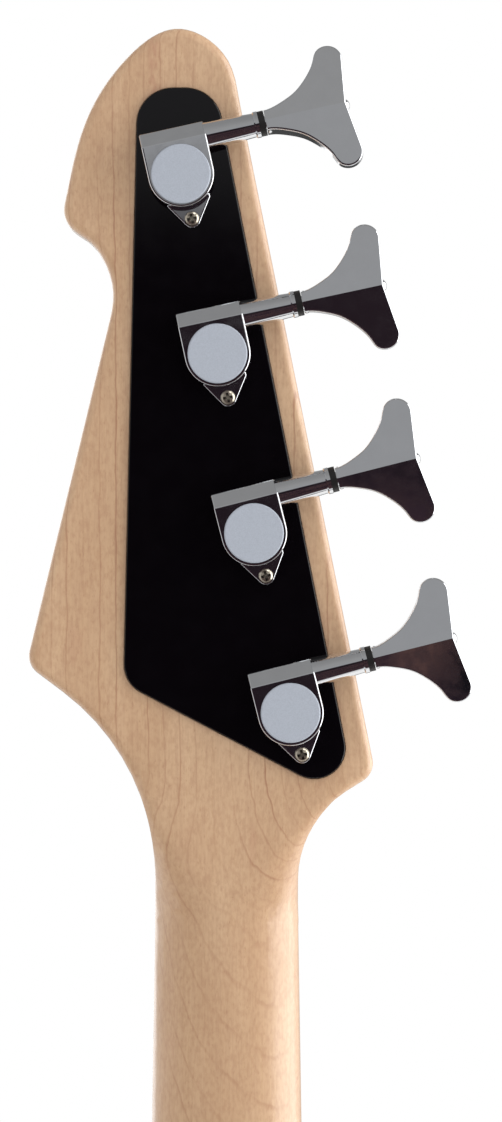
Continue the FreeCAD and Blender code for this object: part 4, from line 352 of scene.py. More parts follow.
@dataclass(frozen=True)
class Maple(Finish):
    """Pale maple under a satin coat, with growth lines, fibres and flecks."""

    pale: Colour = from_srgb(214, 178, 141)
    deep: Colour = from_srgb(202, 164, 127)
    line: Colour = from_srgb(162, 110, 80)
    blush: Colour = from_srgb(192, 143, 114)
    cloud: Triple = (70, 70, 18)
    patch: Triple = (120, 120, 34)
    fibre: Triple = (1900, 1900, 90)
    fibre_depth: float = 0.015 * MM
    mottle: Triple = (1100, 1100, 520)
    fleck: Triple = (2400, 2400, 700)
    streak: Triple = (620, 620, 120)
    ring: float = 4.4 * MM
    weights: Span = (0.16, 0.72)
    fade: Triple = (110, 110, 16)
    neck_share: float = 0.6
    share_span: Span = (-12 * MM, 45 * MM)
    depth: float = 0.9
    lean: float = 0.012
    slants: Span = (-0.36, -0.95)
    slant_span: Span = (-4 * MM, 36 * MM)
    climb: float = 34 * MM
    climb_span: Span = (-140 * MM, 30 * MM)
    bend: Triple = (26, 26, 5)
    bend_by: float = 6 * MM
    shake: Triple = (240, 240, 95)
    shake_by: float = 1.5 * MM
    mark_across: float = 20.6 * MM
    mark_up: float = 232 * MM
    mark_sides: Span = (0.4 * MM, 2.6 * MM)
    mark_ends: Span = (6 * MM, 19 * MM)
    mark_gaps: Triple = (700, 700, 260)
    gloss: float = 1.5
    coat: float = 1.0
    coat_rough: float = 0.27

    def paint(self, graph: Graph) -> Inputs:
        """Paint a plank's growth rings: lines on the flat head and loops on the rounded neck.

        Args:
            graph: the material's nodes.

        Returns:
            The shader's inputs.
        """
        place = graph.place()
        tone = graph.blend(self.growth_lines(graph, place), self.tone(graph, place), self.line)
        fibre = graph.streaks(place, self.fibre, 2.0)
        tone = graph.blend(graph.levels(fibre, 0.3, 0.85, 0.0, 0.20), tone, self.line)
        mottle = graph.streaks(place, self.mottle, 2.0)
        tone = graph.blend(graph.levels(mottle, 0.35, 0.75, 0.0, 0.26), tone, self.line)
        fleck = graph.streaks(place, self.fleck, 1.0)
        tone = graph.blend(graph.levels(fleck, 0.62, 0.80, 0.0, 0.30), tone, self.line)
        streak = graph.streaks(place, self.streak, 1.0)
        tone = graph.blend(graph.levels(streak, 0.74, 0.84, 0.0, 0.30), tone, self.blush)
        return {"Base Color": tone, "Roughness": graph.levels(fibre, 0.2, 0.8, 0.26, 0.38),
                "Normal": graph.bump(fibre, self.fibre_depth, 0.4), "IOR": self.gloss,
                "Coat Weight": self.coat, "Coat Roughness": self.coat_rough}

    def tone(self, graph: Graph, place: Socket) -> Socket:
        """Give the wood's own colour, with broad clouds, reddish patches and one reddish mark.

        Args:
            graph: the material's nodes.
            place: the position on the wood.

        Returns:
            The colour before lines and fibres.
        """
        cloud = graph.streaks(place, self.cloud, 3.0)
        tone = graph.blend(graph.levels(cloud, 0.3, 0.7), self.deep, self.pale)
        patch = graph.streaks(place, self.patch, 2.0)
        tone = graph.blend(graph.levels(patch, 0.63, 0.8, 0.0, 0.36), tone, self.blush)
        x, _, z = graph.parts(place)
        beside = graph.sum(Maths.SIZE, graph.sum(Maths.ADD, x, -self.mark_across))
        above = graph.sum(Maths.SIZE, graph.sum(Maths.ADD, z, -self.mark_up))
        mark = graph.sum(Maths.TIMES, graph.levels(beside, *self.mark_sides, 1.0, 0.0),
                         graph.levels(above, *self.mark_ends, 1.0, 0.0))
        broken = graph.levels(graph.streaks(place, self.mark_gaps, 2.0), 0.38, 0.62, 0.1, 0.62)
        return graph.blend(graph.sum(Maths.TIMES, mark, broken), tone, self.blush)

    def growth_lines(self, graph: Graph, place: Socket) -> Socket:
        """Work out how dark the growth lines are.

        Args:
            graph: the material's nodes.
            place: the position on the wood.

        Returns:
            The lines' strength, from 0 between them.
        """
        x, y, z = graph.parts(place)
        across = graph.sum(Maths.TIMES, x, graph.levels(z, *self.slant_span, *self.slants))
        for shift in (graph.sum(Maths.TIMES, y, self.depth),
                      graph.levels(z, *self.climb_span, 0.0, self.climb),
                      graph.sum(Maths.TIMES, z, self.lean),
                      graph.sum(Maths.TIMES, graph.streaks(place, self.bend, 1.0), self.bend_by),
                      graph.sum(Maths.TIMES, graph.streaks(place, self.shake, 3.0), self.shake_by)):
            across = graph.sum(Maths.ADD, across, shift)
        count = graph.sum(Maths.OVER, across, self.ring)
        turn = graph.sum(Maths.FRACTION, count)
        # A ring ends in a dark line, and each ring's line has its own strength.
        late = graph.sum(Maths.TIMES, graph.levels(turn, 0.84, 0.95),
                         graph.levels(turn, 0.955, 1.0, 1.0, 0.0))
        year = graph.add("TexWhiteNoise", noise_dimensions="1D")
        graph.feed(year.inputs["W"], graph.sum(Maths.FLOOR, count))
        weight = graph.levels(year.outputs["Value"], 0.0, 1.0, *self.weights)
        weight = graph.sum(Maths.TIMES, weight, graph.levels(z, *self.share_span, self.neck_share, 1.0))
        fade = graph.levels(graph.streaks(place, self.fade, 2.0), 0.34, 0.66, 0.3, 1.0)
        return graph.sum(Maths.TIMES, late, graph.sum(Maths.TIMES, weight, fade))


@dataclass(frozen=True)
class OpenWood(Finish):
    """Open-grained wood: rings, dark pores and a coat that may shine."""

    pale: Colour = from_srgb(206, 170, 126)
    deep: Colour = from_srgb(176, 134, 90)
    pore: Colour = from_srgb(124, 86, 54)
    ring: float = 11 * MM
    shine: float = 0.32
    dulled: float = 0.14
    across: float = 0.75
    depth: float = 0.9
    wander: Triple = (9, 9, 2.2)
    wander_by: float = 75 * MM
    pores: Triple = (1500, 1500, 60)
    pore_depth: float = 0.03 * MM
    gloss: float = 1.5

    def paint(self, graph: Graph) -> Inputs:
        """Paint wide rings that bend round the plank, with pores along them.

        Args:
            graph: the material's nodes.

        Returns:
            The shader's inputs.
        """
        place = graph.place()
        x, y, _ = graph.parts(place)
        wander = graph.sum(Maths.TIMES, graph.streaks(place, self.wander, 2.0), self.wander_by)
        across = graph.sum(Maths.ADD, graph.sum(Maths.TIMES, x, self.across),
                           graph.sum(Maths.TIMES, y, self.depth))
        across = graph.sum(Maths.ADD, across, wander)
        turn = graph.sum(Maths.FRACTION, graph.sum(Maths.OVER, across, self.ring))
        late = graph.sum(Maths.TIMES, graph.levels(turn, 0.1, 0.85), graph.levels(turn, 0.9, 1.0, 1.0, 0.0))
        tone = graph.blend(graph.sum(Maths.TIMES, late, 0.8), self.pale, self.deep)
        pores = graph.streaks(place, self.pores, 1.0)
        deep = graph.sum(Maths.TIMES, graph.levels(pores, 0.56, 0.68), graph.sum(Maths.ADD, late, 0.25))
        tone = graph.blend(graph.sum(Maths.TIMES, deep, 0.7), tone, self.pore)
        height = graph.levels(pores, 0.5, 0.7, 1.0, 0.0)
        return {"Base Color": tone, "IOR": self.gloss,
                "Roughness": graph.levels(pores, 0.4, 0.7, self.shine, self.shine + self.dulled),
                "Normal": graph.bump(height, self.pore_depth, 0.6)}


@dataclass(frozen=True)
class Metal(Finish):
    """Plated or plain metal whose gloss varies, with painted shade darkening its corners and recesses where
    it has any.
    """

    colour: Colour = (0.78, 0.79, 0.81)
    rough: float = 0.035
    haze: float = 0.05
    grain: float = 0.0
    recess_shade: float = 0.0
    recess_shade_reach: float = 0.9 * MM
    recess_shade_depth: float = 0.06
    worn_shade: float = 0.93
    cloud: float = 240.0
    fine: float = 5200.0

    def paint(self, graph: Graph) -> Inputs:
        """Paint a metal whose gloss varies a little from place to place.

        Args:
            graph: the material's nodes.

        Returns:
            The shader's inputs.
        """
        place = graph.place()
        cloud = graph.noise(place, self.cloud, 3.0)
        tone = graph.blend(cloud, shaded(self.colour, self.worn_shade), self.colour)
        if self.recess_shade:
            # Corners and recesses found by ambient occlusion are darkened towards a dim copy of the colour:
            # painted shade.
            corner = graph.add("AmbientOcclusion", samples=8, only_local=True)
            graph.feed(corner.inputs["Distance"], self.recess_shade_reach)
            share = graph.levels(corner.outputs["AO"], 0.4, 0.85, self.recess_shade, 0.0)
            tone = graph.blend(share, tone, shaded(self.colour, self.recess_shade_depth))
        rough = graph.levels(cloud, 0.3, 0.75, self.rough, self.rough + self.haze)
        inputs = {"Base Color": tone, "Roughness": rough, "Metallic": 1.0}
        if self.grain:
            inputs["Normal"] = graph.bump(graph.noise(place, self.fine, 2.0), self.grain, 0.6)
        return inputs


@dataclass(frozen=True)
class Satin(Finish):
    """Fine-blasted metal under a cool lacquer."""

    colour: Colour = from_srgb(180, 186, 197)
    rough: Span = (0.44, 0.60)
    metal: float = 0.08
    speckle: float = 3600.0
    speckle_shade: float = 0.86
    speckle_depth: float = 0.006 * MM

    def paint(self, graph: Graph) -> Inputs:
        """Paint an even sheen with a fine speckle.

        Args:
            graph: the material's nodes.

        Returns:
            The shader's inputs.
        """
        speckle = graph.noise(graph.place(), self.speckle, 3.0, 0.7)
        dark = shaded(self.colour, self.speckle_shade)
        tone = graph.blend(graph.levels(speckle, 0.3, 0.7), dark, self.colour)
        return {"Base Color": tone, "Roughness": graph.levels(speckle, 0.3, 0.7, *self.rough),
                "Normal": graph.bump(speckle, self.speckle_depth, 0.5), "Metallic": self.metal}


@dataclass(frozen=True)
class Plastic(Finish):
    """Moulded or lacquered plastic, from gloss to satin."""

    colour: Colour = (0.0017, 0.0012, 0.0019)
    rough: float = 0.045
    haze: float = 0.02
    grain: float = 0.0
    gloss: float = 1.42
    dust: float = 0.0003
    dust_shade: float = 1.15
    cloud: float = 160.0
    speckle: float = 2600.0

    def paint(self, graph: Graph) -> Inputs:
        """Paint a deep colour with a breath of dust and fine scuffs.

        Args:
            graph: the material's nodes.

        Returns:
            The shader's inputs.
        """
        place = graph.place()
        cloud = graph.noise(place, self.cloud, 4.0)
        lighter = tuple(min(1.0, part * self.dust_shade + self.dust) for part in self.colour)
        tone = graph.blend(graph.levels(cloud, 0.35, 0.75), self.colour, lighter)
        rough = graph.levels(cloud, 0.3, 0.8, self.rough, self.rough + self.haze)
        inputs = {"Base Color": tone, "Roughness": rough, "IOR": self.gloss}
        if self.grain:
            inputs["Normal"] = graph.bump(graph.noise(place, self.speckle, 2.0), self.grain, 0.7)
        return inputs


@dataclass(frozen=True)
class Wound(Finish):
    """Round-wound string: steel wire wrapped closely round a core."""

    colour: Colour = from_srgb(186, 184, 178)
    rough: Span = (0.24, 0.38)
    pitch: float = 0.42 * MM
    groove: float = 0.05 * MM
    groove_painted_shade: float = 0.45
    tarnish: float = 900.0

    def paint(self, graph: Graph) -> Inputs:
        """Paint the wraps as bands along the string, with painted shade in the grooves between them.

        Args:
            graph: the material's nodes.

        Returns:
            The shader's inputs.
        """
        place = graph.place()
        _, _, z = graph.parts(place)
        wrap = graph.sum(Maths.FRACTION, graph.sum(Maths.OVER, z, self.pitch))
        crest = graph.sum(Maths.SINE, graph.sum(Maths.TIMES, wrap, math.pi))
        # The grooves between the wraps take a darker copy of the colour: painted shade.
        dark = shaded(self.colour, self.groove_painted_shade)
        tarnish = graph.noise(place, self.tarnish, 2.0)
        return {"Base Color": graph.blend(graph.levels(crest, 0.1, 0.6), dark, self.colour),
                "Roughness": graph.levels(tarnish, 0.3, 0.7, *self.rough),
                "Normal": graph.bump(crest, self.groove, 0.8), "Metallic": 1.0}


@dataclass(frozen=True)
class Shell(Finish):
    """Pearl or bone: pale, with soft clouds under a polish."""

    pale: Colour = from_srgb(238, 234, 224)
    deep: Colour = from_srgb(206, 204, 200)
    cloud: float = 300.0
    rough: float = 0.18
    haze: float = 0.1
    coat: float = 0.4
    coat_rough: float = 0.08

    def paint(self, graph: Graph) -> Inputs:
        """Paint drifting clouds of two pale colours.

        Args:
            graph: the material's nodes.

        Returns:
            The shader's inputs.
        """
        drift = graph.noise(graph.place(), self.cloud, 3.0, 0.55, 1.4)
        return {"Base Color": graph.blend(graph.levels(drift, 0.3, 0.7), self.deep, self.pale),
                "Roughness": graph.levels(drift, 0.3, 0.7, self.rough, self.rough + self.haze),
                "Coat Weight": self.coat, "Coat Roughness": self.coat_rough}


@dataclass(frozen=True)
class PaleFloor(Finish):
    """Pale studio floor that fades out into the backdrop."""

    clear: float = 0.75
    reach: float = 1.25
    deep: Colour = (0.80, 0.80, 0.79)
    pale: Colour = (0.86, 0.86, 0.85)
    rough: Span = (0.6, 0.75)
    grain: float = 90.0

    def paint(self, graph: Graph) -> Inputs:
        """Paint a fine pale grain, clear of the edge.

        Args:
            graph: the material's nodes.

        Returns:
            The shader's inputs.
        """
        place = graph.place()
        grain = graph.noise(place, self.grain, 4.0)
        distance = graph.add("VectorMath", operation="LENGTH")
        graph.feed(distance.inputs[0], place)
        return {"Base Color": graph.blend(grain, self.deep, self.pale),
                "Roughness": graph.levels(grain, 0.3, 0.7, *self.rough),
                "Alpha": graph.levels(distance.outputs["Value"], self.clear, self.reach, 1.0, 0.0)}


FINISHES: dict[str, Finish] = {
    "maple": Maple("satin_maple"),
    "body_wood": OpenWood("body_wood"),
    "rosewood": OpenWood("rosewood", from_srgb(84, 52, 38), from_srgb(48, 28, 22), from_srgb(22, 12, 10),
                         4 * MM, 0.45),
    "fret_wire": Metal("fret_wire", (0.72, 0.71, 0.68), 0.14, 0.08),
    "bone": Shell("bone"),
    "pearl": Shell("pearl", from_srgb(240, 240, 236), from_srgb(196, 204, 206), 700.0, 0.12),
    "rod_steel": Metal("rod_steel", (0.36, 0.36, 0.37), 0.32, 0.12, 0.01 * MM),
    "black_gloss": Plastic("black_gloss"),
    "chrome": Metal("chrome"),
    "satin_cover": Satin("satin_cover"),
    # The brass screws take painted shade in their cross recesses.
    "screw_brass": Metal("screw_brass", (0.80, 0.72, 0.58), 0.24, 0.12, 0.006 * MM, 0.95),
    "black_nylon": Plastic("black_nylon", (0.012, 0.011, 0.011), 0.42, 0.1, 0.01 * MM),
    "pickup_plastic": Plastic("pickup_plastic", (0.010, 0.010, 0.011), 0.36, 0.1, 0.012 * MM),
    "coil_wire": Metal("coil_wire", (0.62, 0.22, 0.10), 0.3, 0.1),
    "pole_steel": Metal("pole_steel", (0.50, 0.50, 0.50), 0.28, 0.1, 0.006 * MM),
    "pot_metal": Metal("pot_metal", (0.58, 0.57, 0.55), 0.34, 0.12, 0.01 * MM),
    "string_steel": Wound("string_steel"),
    "ball_brass": Metal("ball_brass", (0.76, 0.58, 0.28), 0.24, 0.1),
}


@dataclass(frozen=True)
class Lamp:
    """A soft panel light: its place and aim in metres, its width and height, and its power in watts."""

    name: str
    at: Triple
    aim: Triple
    size: Span
    power: float


@dataclass
class Studio:
    """Camera, light, floor and background."""

    scale: float = 3.525
    width: float = 502.0
    height: float = 1122.0
    nut_row: float = 895.0
    centre_column: float = 226.4
    distance: float = 1.2
    picture_plane: float = 22 * MM
    sensor: float = 36.0
    near: float = 0.02
    floor_drop: float = 8 * MM
    floor_back: float = 0.9
    floor_steps: int = 96
    lamps: tuple[Lamp, ...] = (
        Lamp("side_lamp", (-1.5, 0.10, 0.30), (0, 0, 0.05), (1.8, 2.2), 27),
        Lamp("front_lamp", (0.9, -1.6, 0.4), (0, 0, -0.4), (1.2, 1.8), 8))
    room_light: float = 0.95
    fill_right: float = 1.14
    fill_left: float = 0.84
    room: tuple[Stop, ...] = (
        (0.0, (0.034, 0.020, 0.026)), (0.538, (0.017, 0.011, 0.015)), (0.548, (0.36, 0.365, 0.375)),
        (0.77, grey(0.35)), (1.0, grey(0.28)))
    murk_scale: float = 60.0
    murk: tuple[Stop, ...] = (
        (0.43, (0.006, 0.006, 0.008)), (0.48, (0.018, 0.011, 0.022)), (0.53, (0.046, 0.027, 0.048)),
        (0.58, (0.120, 0.064, 0.054)))
    side: Colour = (0.46, 0.46, 0.48)
    under: Colour = (0.85, 0.85, 0.86)
    backdrop: tuple[Stop, ...] = (
        (0.0, grey(0.8)), (0.3, grey(1.0)), (0.60, grey(0.95)), (0.70, grey(0.36)), (1.0, grey(0.26)))
    hall: tuple[Stop, ...] = (
        (0.0, grey(0.10)), (0.36, grey(0.06)), (0.44, grey(0.42)), (0.52, grey(0.56)), (0.66, grey(0.44)),
        (1.0, grey(0.30)))

    def place_camera(self) -> None:
        """Stand the camera behind the headstock, where the picture was taken."""
        data = bpy.data.cameras.new("camera")
        camera = bpy.data.objects.new("camera", data)
        bpy.context.scene.collection.objects.link(camera)
        across = (self.width / 2 - self.centre_column) / self.scale * MM
        up = (self.nut_row - self.height / 2) / self.scale * MM
        camera.location = (-across, self.picture_plane + self.distance, up)
        camera.rotation_euler = (math.pi / 2, 0.0, math.pi)
        data.sensor_fit = "VERTICAL"
        data.sensor_height = self.sensor
        # At the picture's plane the lens takes in just the picture's height.
        data.lens = self.sensor * self.distance / (self.height / self.scale * MM)
        data.clip_start = self.near
        bpy.context.scene.camera = camera

    def hang(self, lamp: Lamp) -> None:
        """Hang a soft panel light, out of the camera's sight.

        Args:
            lamp: the light.
        """
        data = bpy.data.lights.new(lamp.name, "AREA")
        data.shape = "RECTANGLE"
        data.size, data.size_y = lamp.size
        data.energy = lamp.power
        panel = bpy.data.objects.new(lamp.name, data)
        panel.location = lamp.at
        panel.rotation_euler = (Vector(lamp.at) - Vector(lamp.aim)).to_track_quat("Z", "Y").to_euler()
        panel.visible_camera = False
        bpy.context.scene.collection.objects.link(panel)

    def mirrored(self, graph: Graph, way: Socket) -> Socket:
        """Work out the grey, dark and pale bands of the room that shiny pieces show.

        Args:
            graph: the world's nodes.
            way: the direction that is looked in.

        Returns:
            The room's colour.
        """
        x, y, z = graph.parts(way)
        # The level runs from 0 straight down to 1 straight up.
        level = graph.sum(Maths.ADD, graph.sum(Maths.TIMES, z, 0.5), 0.5)
        room = graph.ramp(level, *self.room)
        murk = graph.ramp(graph.noise(way, self.murk_scale, 2.0), *self.murk)
        room = graph.blend(graph.levels(level, 0.40, 0.43, 1.0, 0.0), room, murk)
        room = graph.blend(graph.levels(graph.sum(Maths.SIZE, x), 0.76, 0.9), room, self.side)
        under = graph.sum(Maths.TIMES, graph.levels(y, 0.14, 0.30, 1.0, 0.0),
                          graph.levels(level, 0.42, 0.50, 1.0, 0.0))
        room = graph.blend(under, room, self.under)
        backdrop = graph.ramp(level, *self.backdrop)
        room = graph.blend(graph.levels(y, -0.30, -0.05, 1.0, 0.0), room, backdrop)
        hall = graph.ramp(level, *self.hall)
        return graph.blend(graph.levels(y, -0.88, -0.72, 1.0, 0.0), room, hall)

    def paint_world(self) -> None:
        """Make a white background, a fill that is stronger from the picture's right, and the room."""
        world = bpy.data.worlds.new("studio")
        bpy.context.scene.world = world
        world.use_nodes = True
        graph = Graph(world.node_tree)
        way = graph.add("TexCoord").outputs["Generated"]
        path = graph.add("LightPath")
        across, _, _ = graph.parts(way)
        fill = graph.levels(across, -1.0, 1.0, self.room_light * self.fill_right,
                            self.room_light * self.fill_left)
        # Shiny pieces show the room, the camera sees white, and all else gets the fill.
        seen = graph.blend(path.outputs["Is Glossy Ray"], fill, self.mirrored(graph, way))
        shown = graph.sum(Maths.LARGER, path.outputs["Is Camera Ray"], path.outputs["Is Transmission Ray"])
        seen = graph.blend(shown, seen, grey(1.0))
        sky = graph.add("Background")
        graph.feed(sky.inputs["Color"], seen)
        output = graph.add("OutputWorld")
        graph.feed(output.inputs["Surface"], sky.outputs[0])

    def lay_floor(self, low: float) -> None:
        """Lay a pale floor under the instrument.

        Args:
            low: height of the instrument's lowest point, in metres.
        """
        finish = PaleFloor("pale_floor")
        shape = bmesh.new()
        bmesh.ops.create_circle(shape, cap_ends=True, segments=self.floor_steps, radius=finish.reach)
        mesh = to_mesh(shape, "floor")
        floor = bpy.data.objects.new("floor", mesh)
        floor.location = (0.0, -self.floor_back, low - self.floor_drop)
        bpy.context.scene.collection.objects.link(floor)
        mesh.materials.append(finish.make())
        floor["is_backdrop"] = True

    def build(self, low: float) -> None:
        """Set up the whole studio.

        Args:
            low: height of the instrument's lowest point, in metres.
        """
        bpy.context.scene.view_settings.view_transform = "Standard"
        self.place_camera()
        for lamp in self.lamps:
            self.hang(lamp)
        self.paint_world()
        self.lay_floor(low)


class PaintShop:
    """Makes each finish once and puts it on the pieces that take it."""

    def __init__(self) -> None:
        """Start with no finish made."""
        self.made: dict[str, bpy.types.Material] = {}

    def material(self, slot: str) -> bpy.types.Material:
        """Give the material of a slot, made at its first use.

        Args:
            slot: the record's slot.

        Returns:
            The material.
        """
        if slot not in self.made:
            self.made[slot] = FINISHES[slot].make()
        return self.made[slot]

    def coat(self, slot: str, *names: str) -> None:
        """Put a slot's finish on carried-over pieces.

        Args:
            slot: the record's slot.
            names: the pieces.
        """
        for name in names:
            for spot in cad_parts[name].material_slots:
                spot.material = self.material(slot)
            LOG.info("%s: %s", name, FINISHES[slot].name)

    def add(self, slot: str, name: str, mesh: bpy.types.Mesh, body: str) -> bpy.types.Object:
        """Put a new piece into the scene, finished and riding on a body.

        Args:
            slot: the record's slot that it takes its finish from.
            name: the piece's name.
            mesh: its mesh, in the shared frame.
            body: the body that carries it.

        Returns:
            The new piece.
        """
        piece = bpy.data.objects.new(name, mesh)
        bpy.context.scene.collection.objects.link(piece)
        mesh.materials.append(self.material(slot))
        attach(piece, body)
        LOG.info("%s: %s on %s", name, FINISHES[slot].name, body)
        return piece


def to_mesh(shape: bmesh.types.BMesh, name: str) -> bpy.types.Mesh:
    """Turn a finished shape into a mesh and let the shape go.

    Args:
        shape: the shape.
        name: the mesh's name.

    Returns:
        The mesh.
    """
    mesh = bpy.data.meshes.new(name)
    shape.to_mesh(mesh)
    shape.free()
    return mesh


def join_rings(shape: bmesh.types.BMesh, rings: list[list[bmesh.types.BMVert]], smooth: bool) -> None:
    """Join a row of rings by walls and close both ends.

    Args:
        shape: the shape that the rings' points are in.
        rings: each ring's points, from the foot up.
        smooth: whether the walls are shaded as one round.
    """
    for lower, upper in zip(rings, rings[1:]):
        for step, point in enumerate(lower):
            after = (step + 1) % len(lower)
            face = shape.faces.new((point, lower[after], upper[after], upper[step]))
            face.smooth = smooth
    shape.faces.new(reversed(rings[0]))
    shape.faces.new(rings[-1])


def lathe(name: str, foot: Vector, axis: Vector, profile: list[Span], segments: int,
          ripple: float = 0.0, ridges: int = 0, rippled: Span = (0.0, 0.0)) -> bpy.types.Mesh:
    """Turn a profile about an axis into a closed mesh, with upright ridges on a stretch of it.

    Args:
        name: the mesh's name.
        foot: the point where the axis starts.
        axis: the axis, one long.
        profile: radius and height of each ring, from the foot up.
        segments: how many steps there are round the axis.
        ripple: depth of the ridges.
        ridges: how many there are.
        rippled: the heights between which the ridges run.

    Returns:
        The mesh.
    """
    out = axis.orthogonal().normalized()
    beside = axis.cross(out)
    shape = bmesh.new()
    rings = []
    for radius, height in profile:
        ring = []
        for step in range(segments):
            angle = 2 * math.pi * step / segments
            # The ridges sink in from the radius, so the outline stays the widest.
            wave = 0.5 - 0.5 * math.cos(ridges * angle) if rippled[0] <= height <= rippled[1] else 0.0
            reach = radius - ripple * wave
            spoke = out * math.cos(angle) + beside * math.sin(angle)
            ring.append(shape.verts.new(foot + axis * height + spoke * reach))
        rings.append(ring)
    join_rings(shape, rings, True)
    return to_mesh(shape, name)


def per_string(*names: str) -> tuple[str, ...]:
    """Give the names of the pieces that each string has of its own."""
    return tuple(f"{name}_{string.value}" for string in StringName for name in names)


@dataclass
class Assembly:
    """A group of pieces, with the slot that each of them takes its finish from."""

    coats: Coats = ()

    def build(self, shop: PaintShop) -> None:
        """Dress the group's pieces.

        Args:
            shop: where the finishes come from.
        """
        for slot, names in self.coats:
            shop.coat(slot, *names)


@dataclass
class Headstock(Assembly):
    """The neck's wood with its head, and the plates on it."""

    coats: Coats = (("black_gloss", ("headstock_plate", "truss_rod_cover")),
                    ("rod_steel", ("truss_rod", "truss_rod_nut")))
    wood: str = "neck"
    seam: float = 0.004 * MM
    crease: float = math.radians(30)
    blend_low: float = -30 * MM
    blend_high: float = 46 * MM
    blend_half: float = 30 * MM
    blend_fade: float = 10 * MM
    field_size: float = 2 * MM
    strokes: int = 26
    own_weight: float = 2.0
    back_facing: float = 0.1
    flank_from: float = 0.3
    flank_span: float = 0.3
    board_clear: float = 8 * MM
    inward: float = 0.02
    tip_at: float = -8 * MM
    tip_half: float = 5 * MM
    tip_back: float = 20 * MM
    slit: float = 0.15 * MM

    def build(self, shop: PaintShop) -> None:
        """Sand the wood, and dress it and the pieces on it.

        Args:
            shop: where the finishes come from.
        """
        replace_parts(shop.add("maple", "neck_wood", self.sanded_wood(), "bass"), self.wood)
        super().build(shop)

    def sanded_wood(self) -> bpy.types.Mesh:
        """Copy the neck so that its shading runs on softly over the blend between neck and head.

        Returns:
            The copy's mesh.
        """
        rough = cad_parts[self.wood]
        shape = bmesh.new()
        shape.from_mesh(rough.data)
        shape.transform(rough.matrix_world)
        bmesh.ops.remove_doubles(shape, verts=shape.verts, dist=self.seam)
        self.close_slits(shape)
        self.cut_fields(shape)
        mesh = to_mesh(shape, "neck_wood")
        if "custom_normal" in mesh.attributes:
            mesh.attributes.remove(mesh.attributes["custom_normal"])
        for face in mesh.polygons:
            face.use_smooth = True
            face.material_index = 0
        normals = self.carried_normals(rough, mesh)
        self.soften(mesh, normals)
        mesh.normals_split_custom_set(normals)
        return mesh

    def close_slits(self, shape: bmesh.types.BMesh) -> None:
        """Press the two thin slits at the tip of the head's flat shut.

        Args:
            shape: the neck's mesh, changed in place.
        """
        for face in shape.faces:
            middle = face.calc_center_median()
            aside = max(abs(middle.x), abs(middle.z - self.tip_at))
            if aside > self.tip_half or middle.y < self.tip_back:
                continue
            longest = max(face.edges, key=lambda edge: edge.calc_length())
            if 2 * face.calc_area() / longest.calc_length() < self.slit:
                one, other = longest.verts
                # The sliver's third corner moves onto its longest edge, which leaves it empty.
                point = next(point for point in face.verts if point not in (one, other))
                point.co, _ = intersect_point_line(point.co, one.co, other.co)
        bmesh.ops.dissolve_degenerate(shape, dist=self.seam, edges=shape.edges)

    def cut_fields(self, shape: bmesh.types.BMesh) -> None:
        """Cut the back of the blend into small fields, which leaves its shape as it is.

        Args:
            shape: the neck's mesh, changed in place.
        """
        # A dictionary keeps its order, so that every run cuts the same way.
        picked = {}
        for face in shape.faces:
            levels = [point.co.z for point in face.verts]
            inside = max(levels) > self.blend_low and min(levels) < self.blend_high
            if inside and face.normal.y > self.back_facing:
                picked.update(dict.fromkeys((face, *face.edges, *face.verts)))
        rows = round((self.blend_high - self.blend_low) / self.field_size)
        columns = round(2 * self.blend_half / self.field_size)
        cuts = [(Vector((0, 0, 1)), self.blend_low + self.field_size * row) for row in range(rows + 1)]
        cuts += [(Vector((1, 0, 0)), self.field_size * column - self.blend_half)
                 for column in range(columns + 1)]
        pieces = list(picked)
        for way, at in cuts:
            halves = bmesh.ops.bisect_plane(shape, geom=pieces, dist=self.seam, plane_co=way * at,
                                            plane_no=way)
            pieces = halves["geom"]
        faces = [piece for piece in pieces if isinstance(piece, bmesh.types.BMFace)]
        bmesh.ops.triangulate(shape, faces=faces)

    def carried_normals(self, rough: bpy.types.Object, mesh: bpy.types.Mesh) -> list[Vector]:
        """Read the carried-over neck's shading at every corner of the copy.

        Args:
            rough: the carried-over neck.
            mesh: the copy.

        Returns:
            One direction for each corner.
        """
        points = [rough.matrix_world @ point.co for point in rough.data.vertices]
        turn = rough.matrix_world.to_3x3()
        facing = [turn @ corner.vector for corner in rough.data.corner_normals]
        tree = BVHTree.FromPolygons(points, [face.vertices[:] for face in rough.data.polygons])
        normals = [Vector()] * len(mesh.loops)
        for face in mesh.polygons:
            for corner in face.loop_indices:
                # A spot just inside the face is on the right side of a sharp edge.
                point = mesh.vertices[mesh.loops[corner].vertex_index].co
                spot = point.lerp(face.center, self.inward)
                place, _, found, _ = tree.find_nearest(spot)
                under = rough.data.polygons[found]
                shares = poly_3d_calc([points[index] for index in under.vertices], place)
                parts = (facing[loop] * share for loop, share in zip(under.loop_indices, shares))
                normals[corner] = sum(parts, Vector()).normalized()
        return normals

    def soften(self, mesh: bpy.types.Mesh, normals: list[Vector]) -> None:
        """Even out the shading over the blend, as sanding would.

        Args:
            mesh: the copy.
            normals: one direction for each corner, changed in place.
        """
        corners: dict[int, list[int]] = {}
        for corner, loop in enumerate(mesh.loops):
            sanded = self.share(mesh.vertices[loop.vertex_index].co) > 0
            if sanded and normals[corner].y > self.back_facing:
                corners.setdefault(loop.vertex_index, []).append(corner)
        means = {point: sum((normals[corner] for corner in group), Vector()).normalized()
                 for point, group in corners.items()}
        beside: dict[int, list[int]] = {point: [] for point in means}
        for edge in mesh.edges:
            one, other = edge.vertices
            if one in means and other in means and means[one].angle(means[other]) < self.crease:
                beside[one].append(other)
                beside[other].append(one)
        for _ in range(self.strokes):
            totals = {point: sum((means[other] for other in beside[point]), mean * self.own_weight)
                      for point, mean in means.items()}
            means = {point: total.normalized() for point, total in totals.items()}
        for point, group in corners.items():
            # The flanks keep their own shading.
            off_flank = min(1.0, max(0.0, (means[point].y - self.flank_from) / self.flank_span))
            share = self.share(mesh.vertices[point].co) * off_flank
            for corner in group:
                if normals[corner].angle(means[point]) < self.crease:
                    normals[corner] = normals[corner].lerp(means[point], share).normalized()

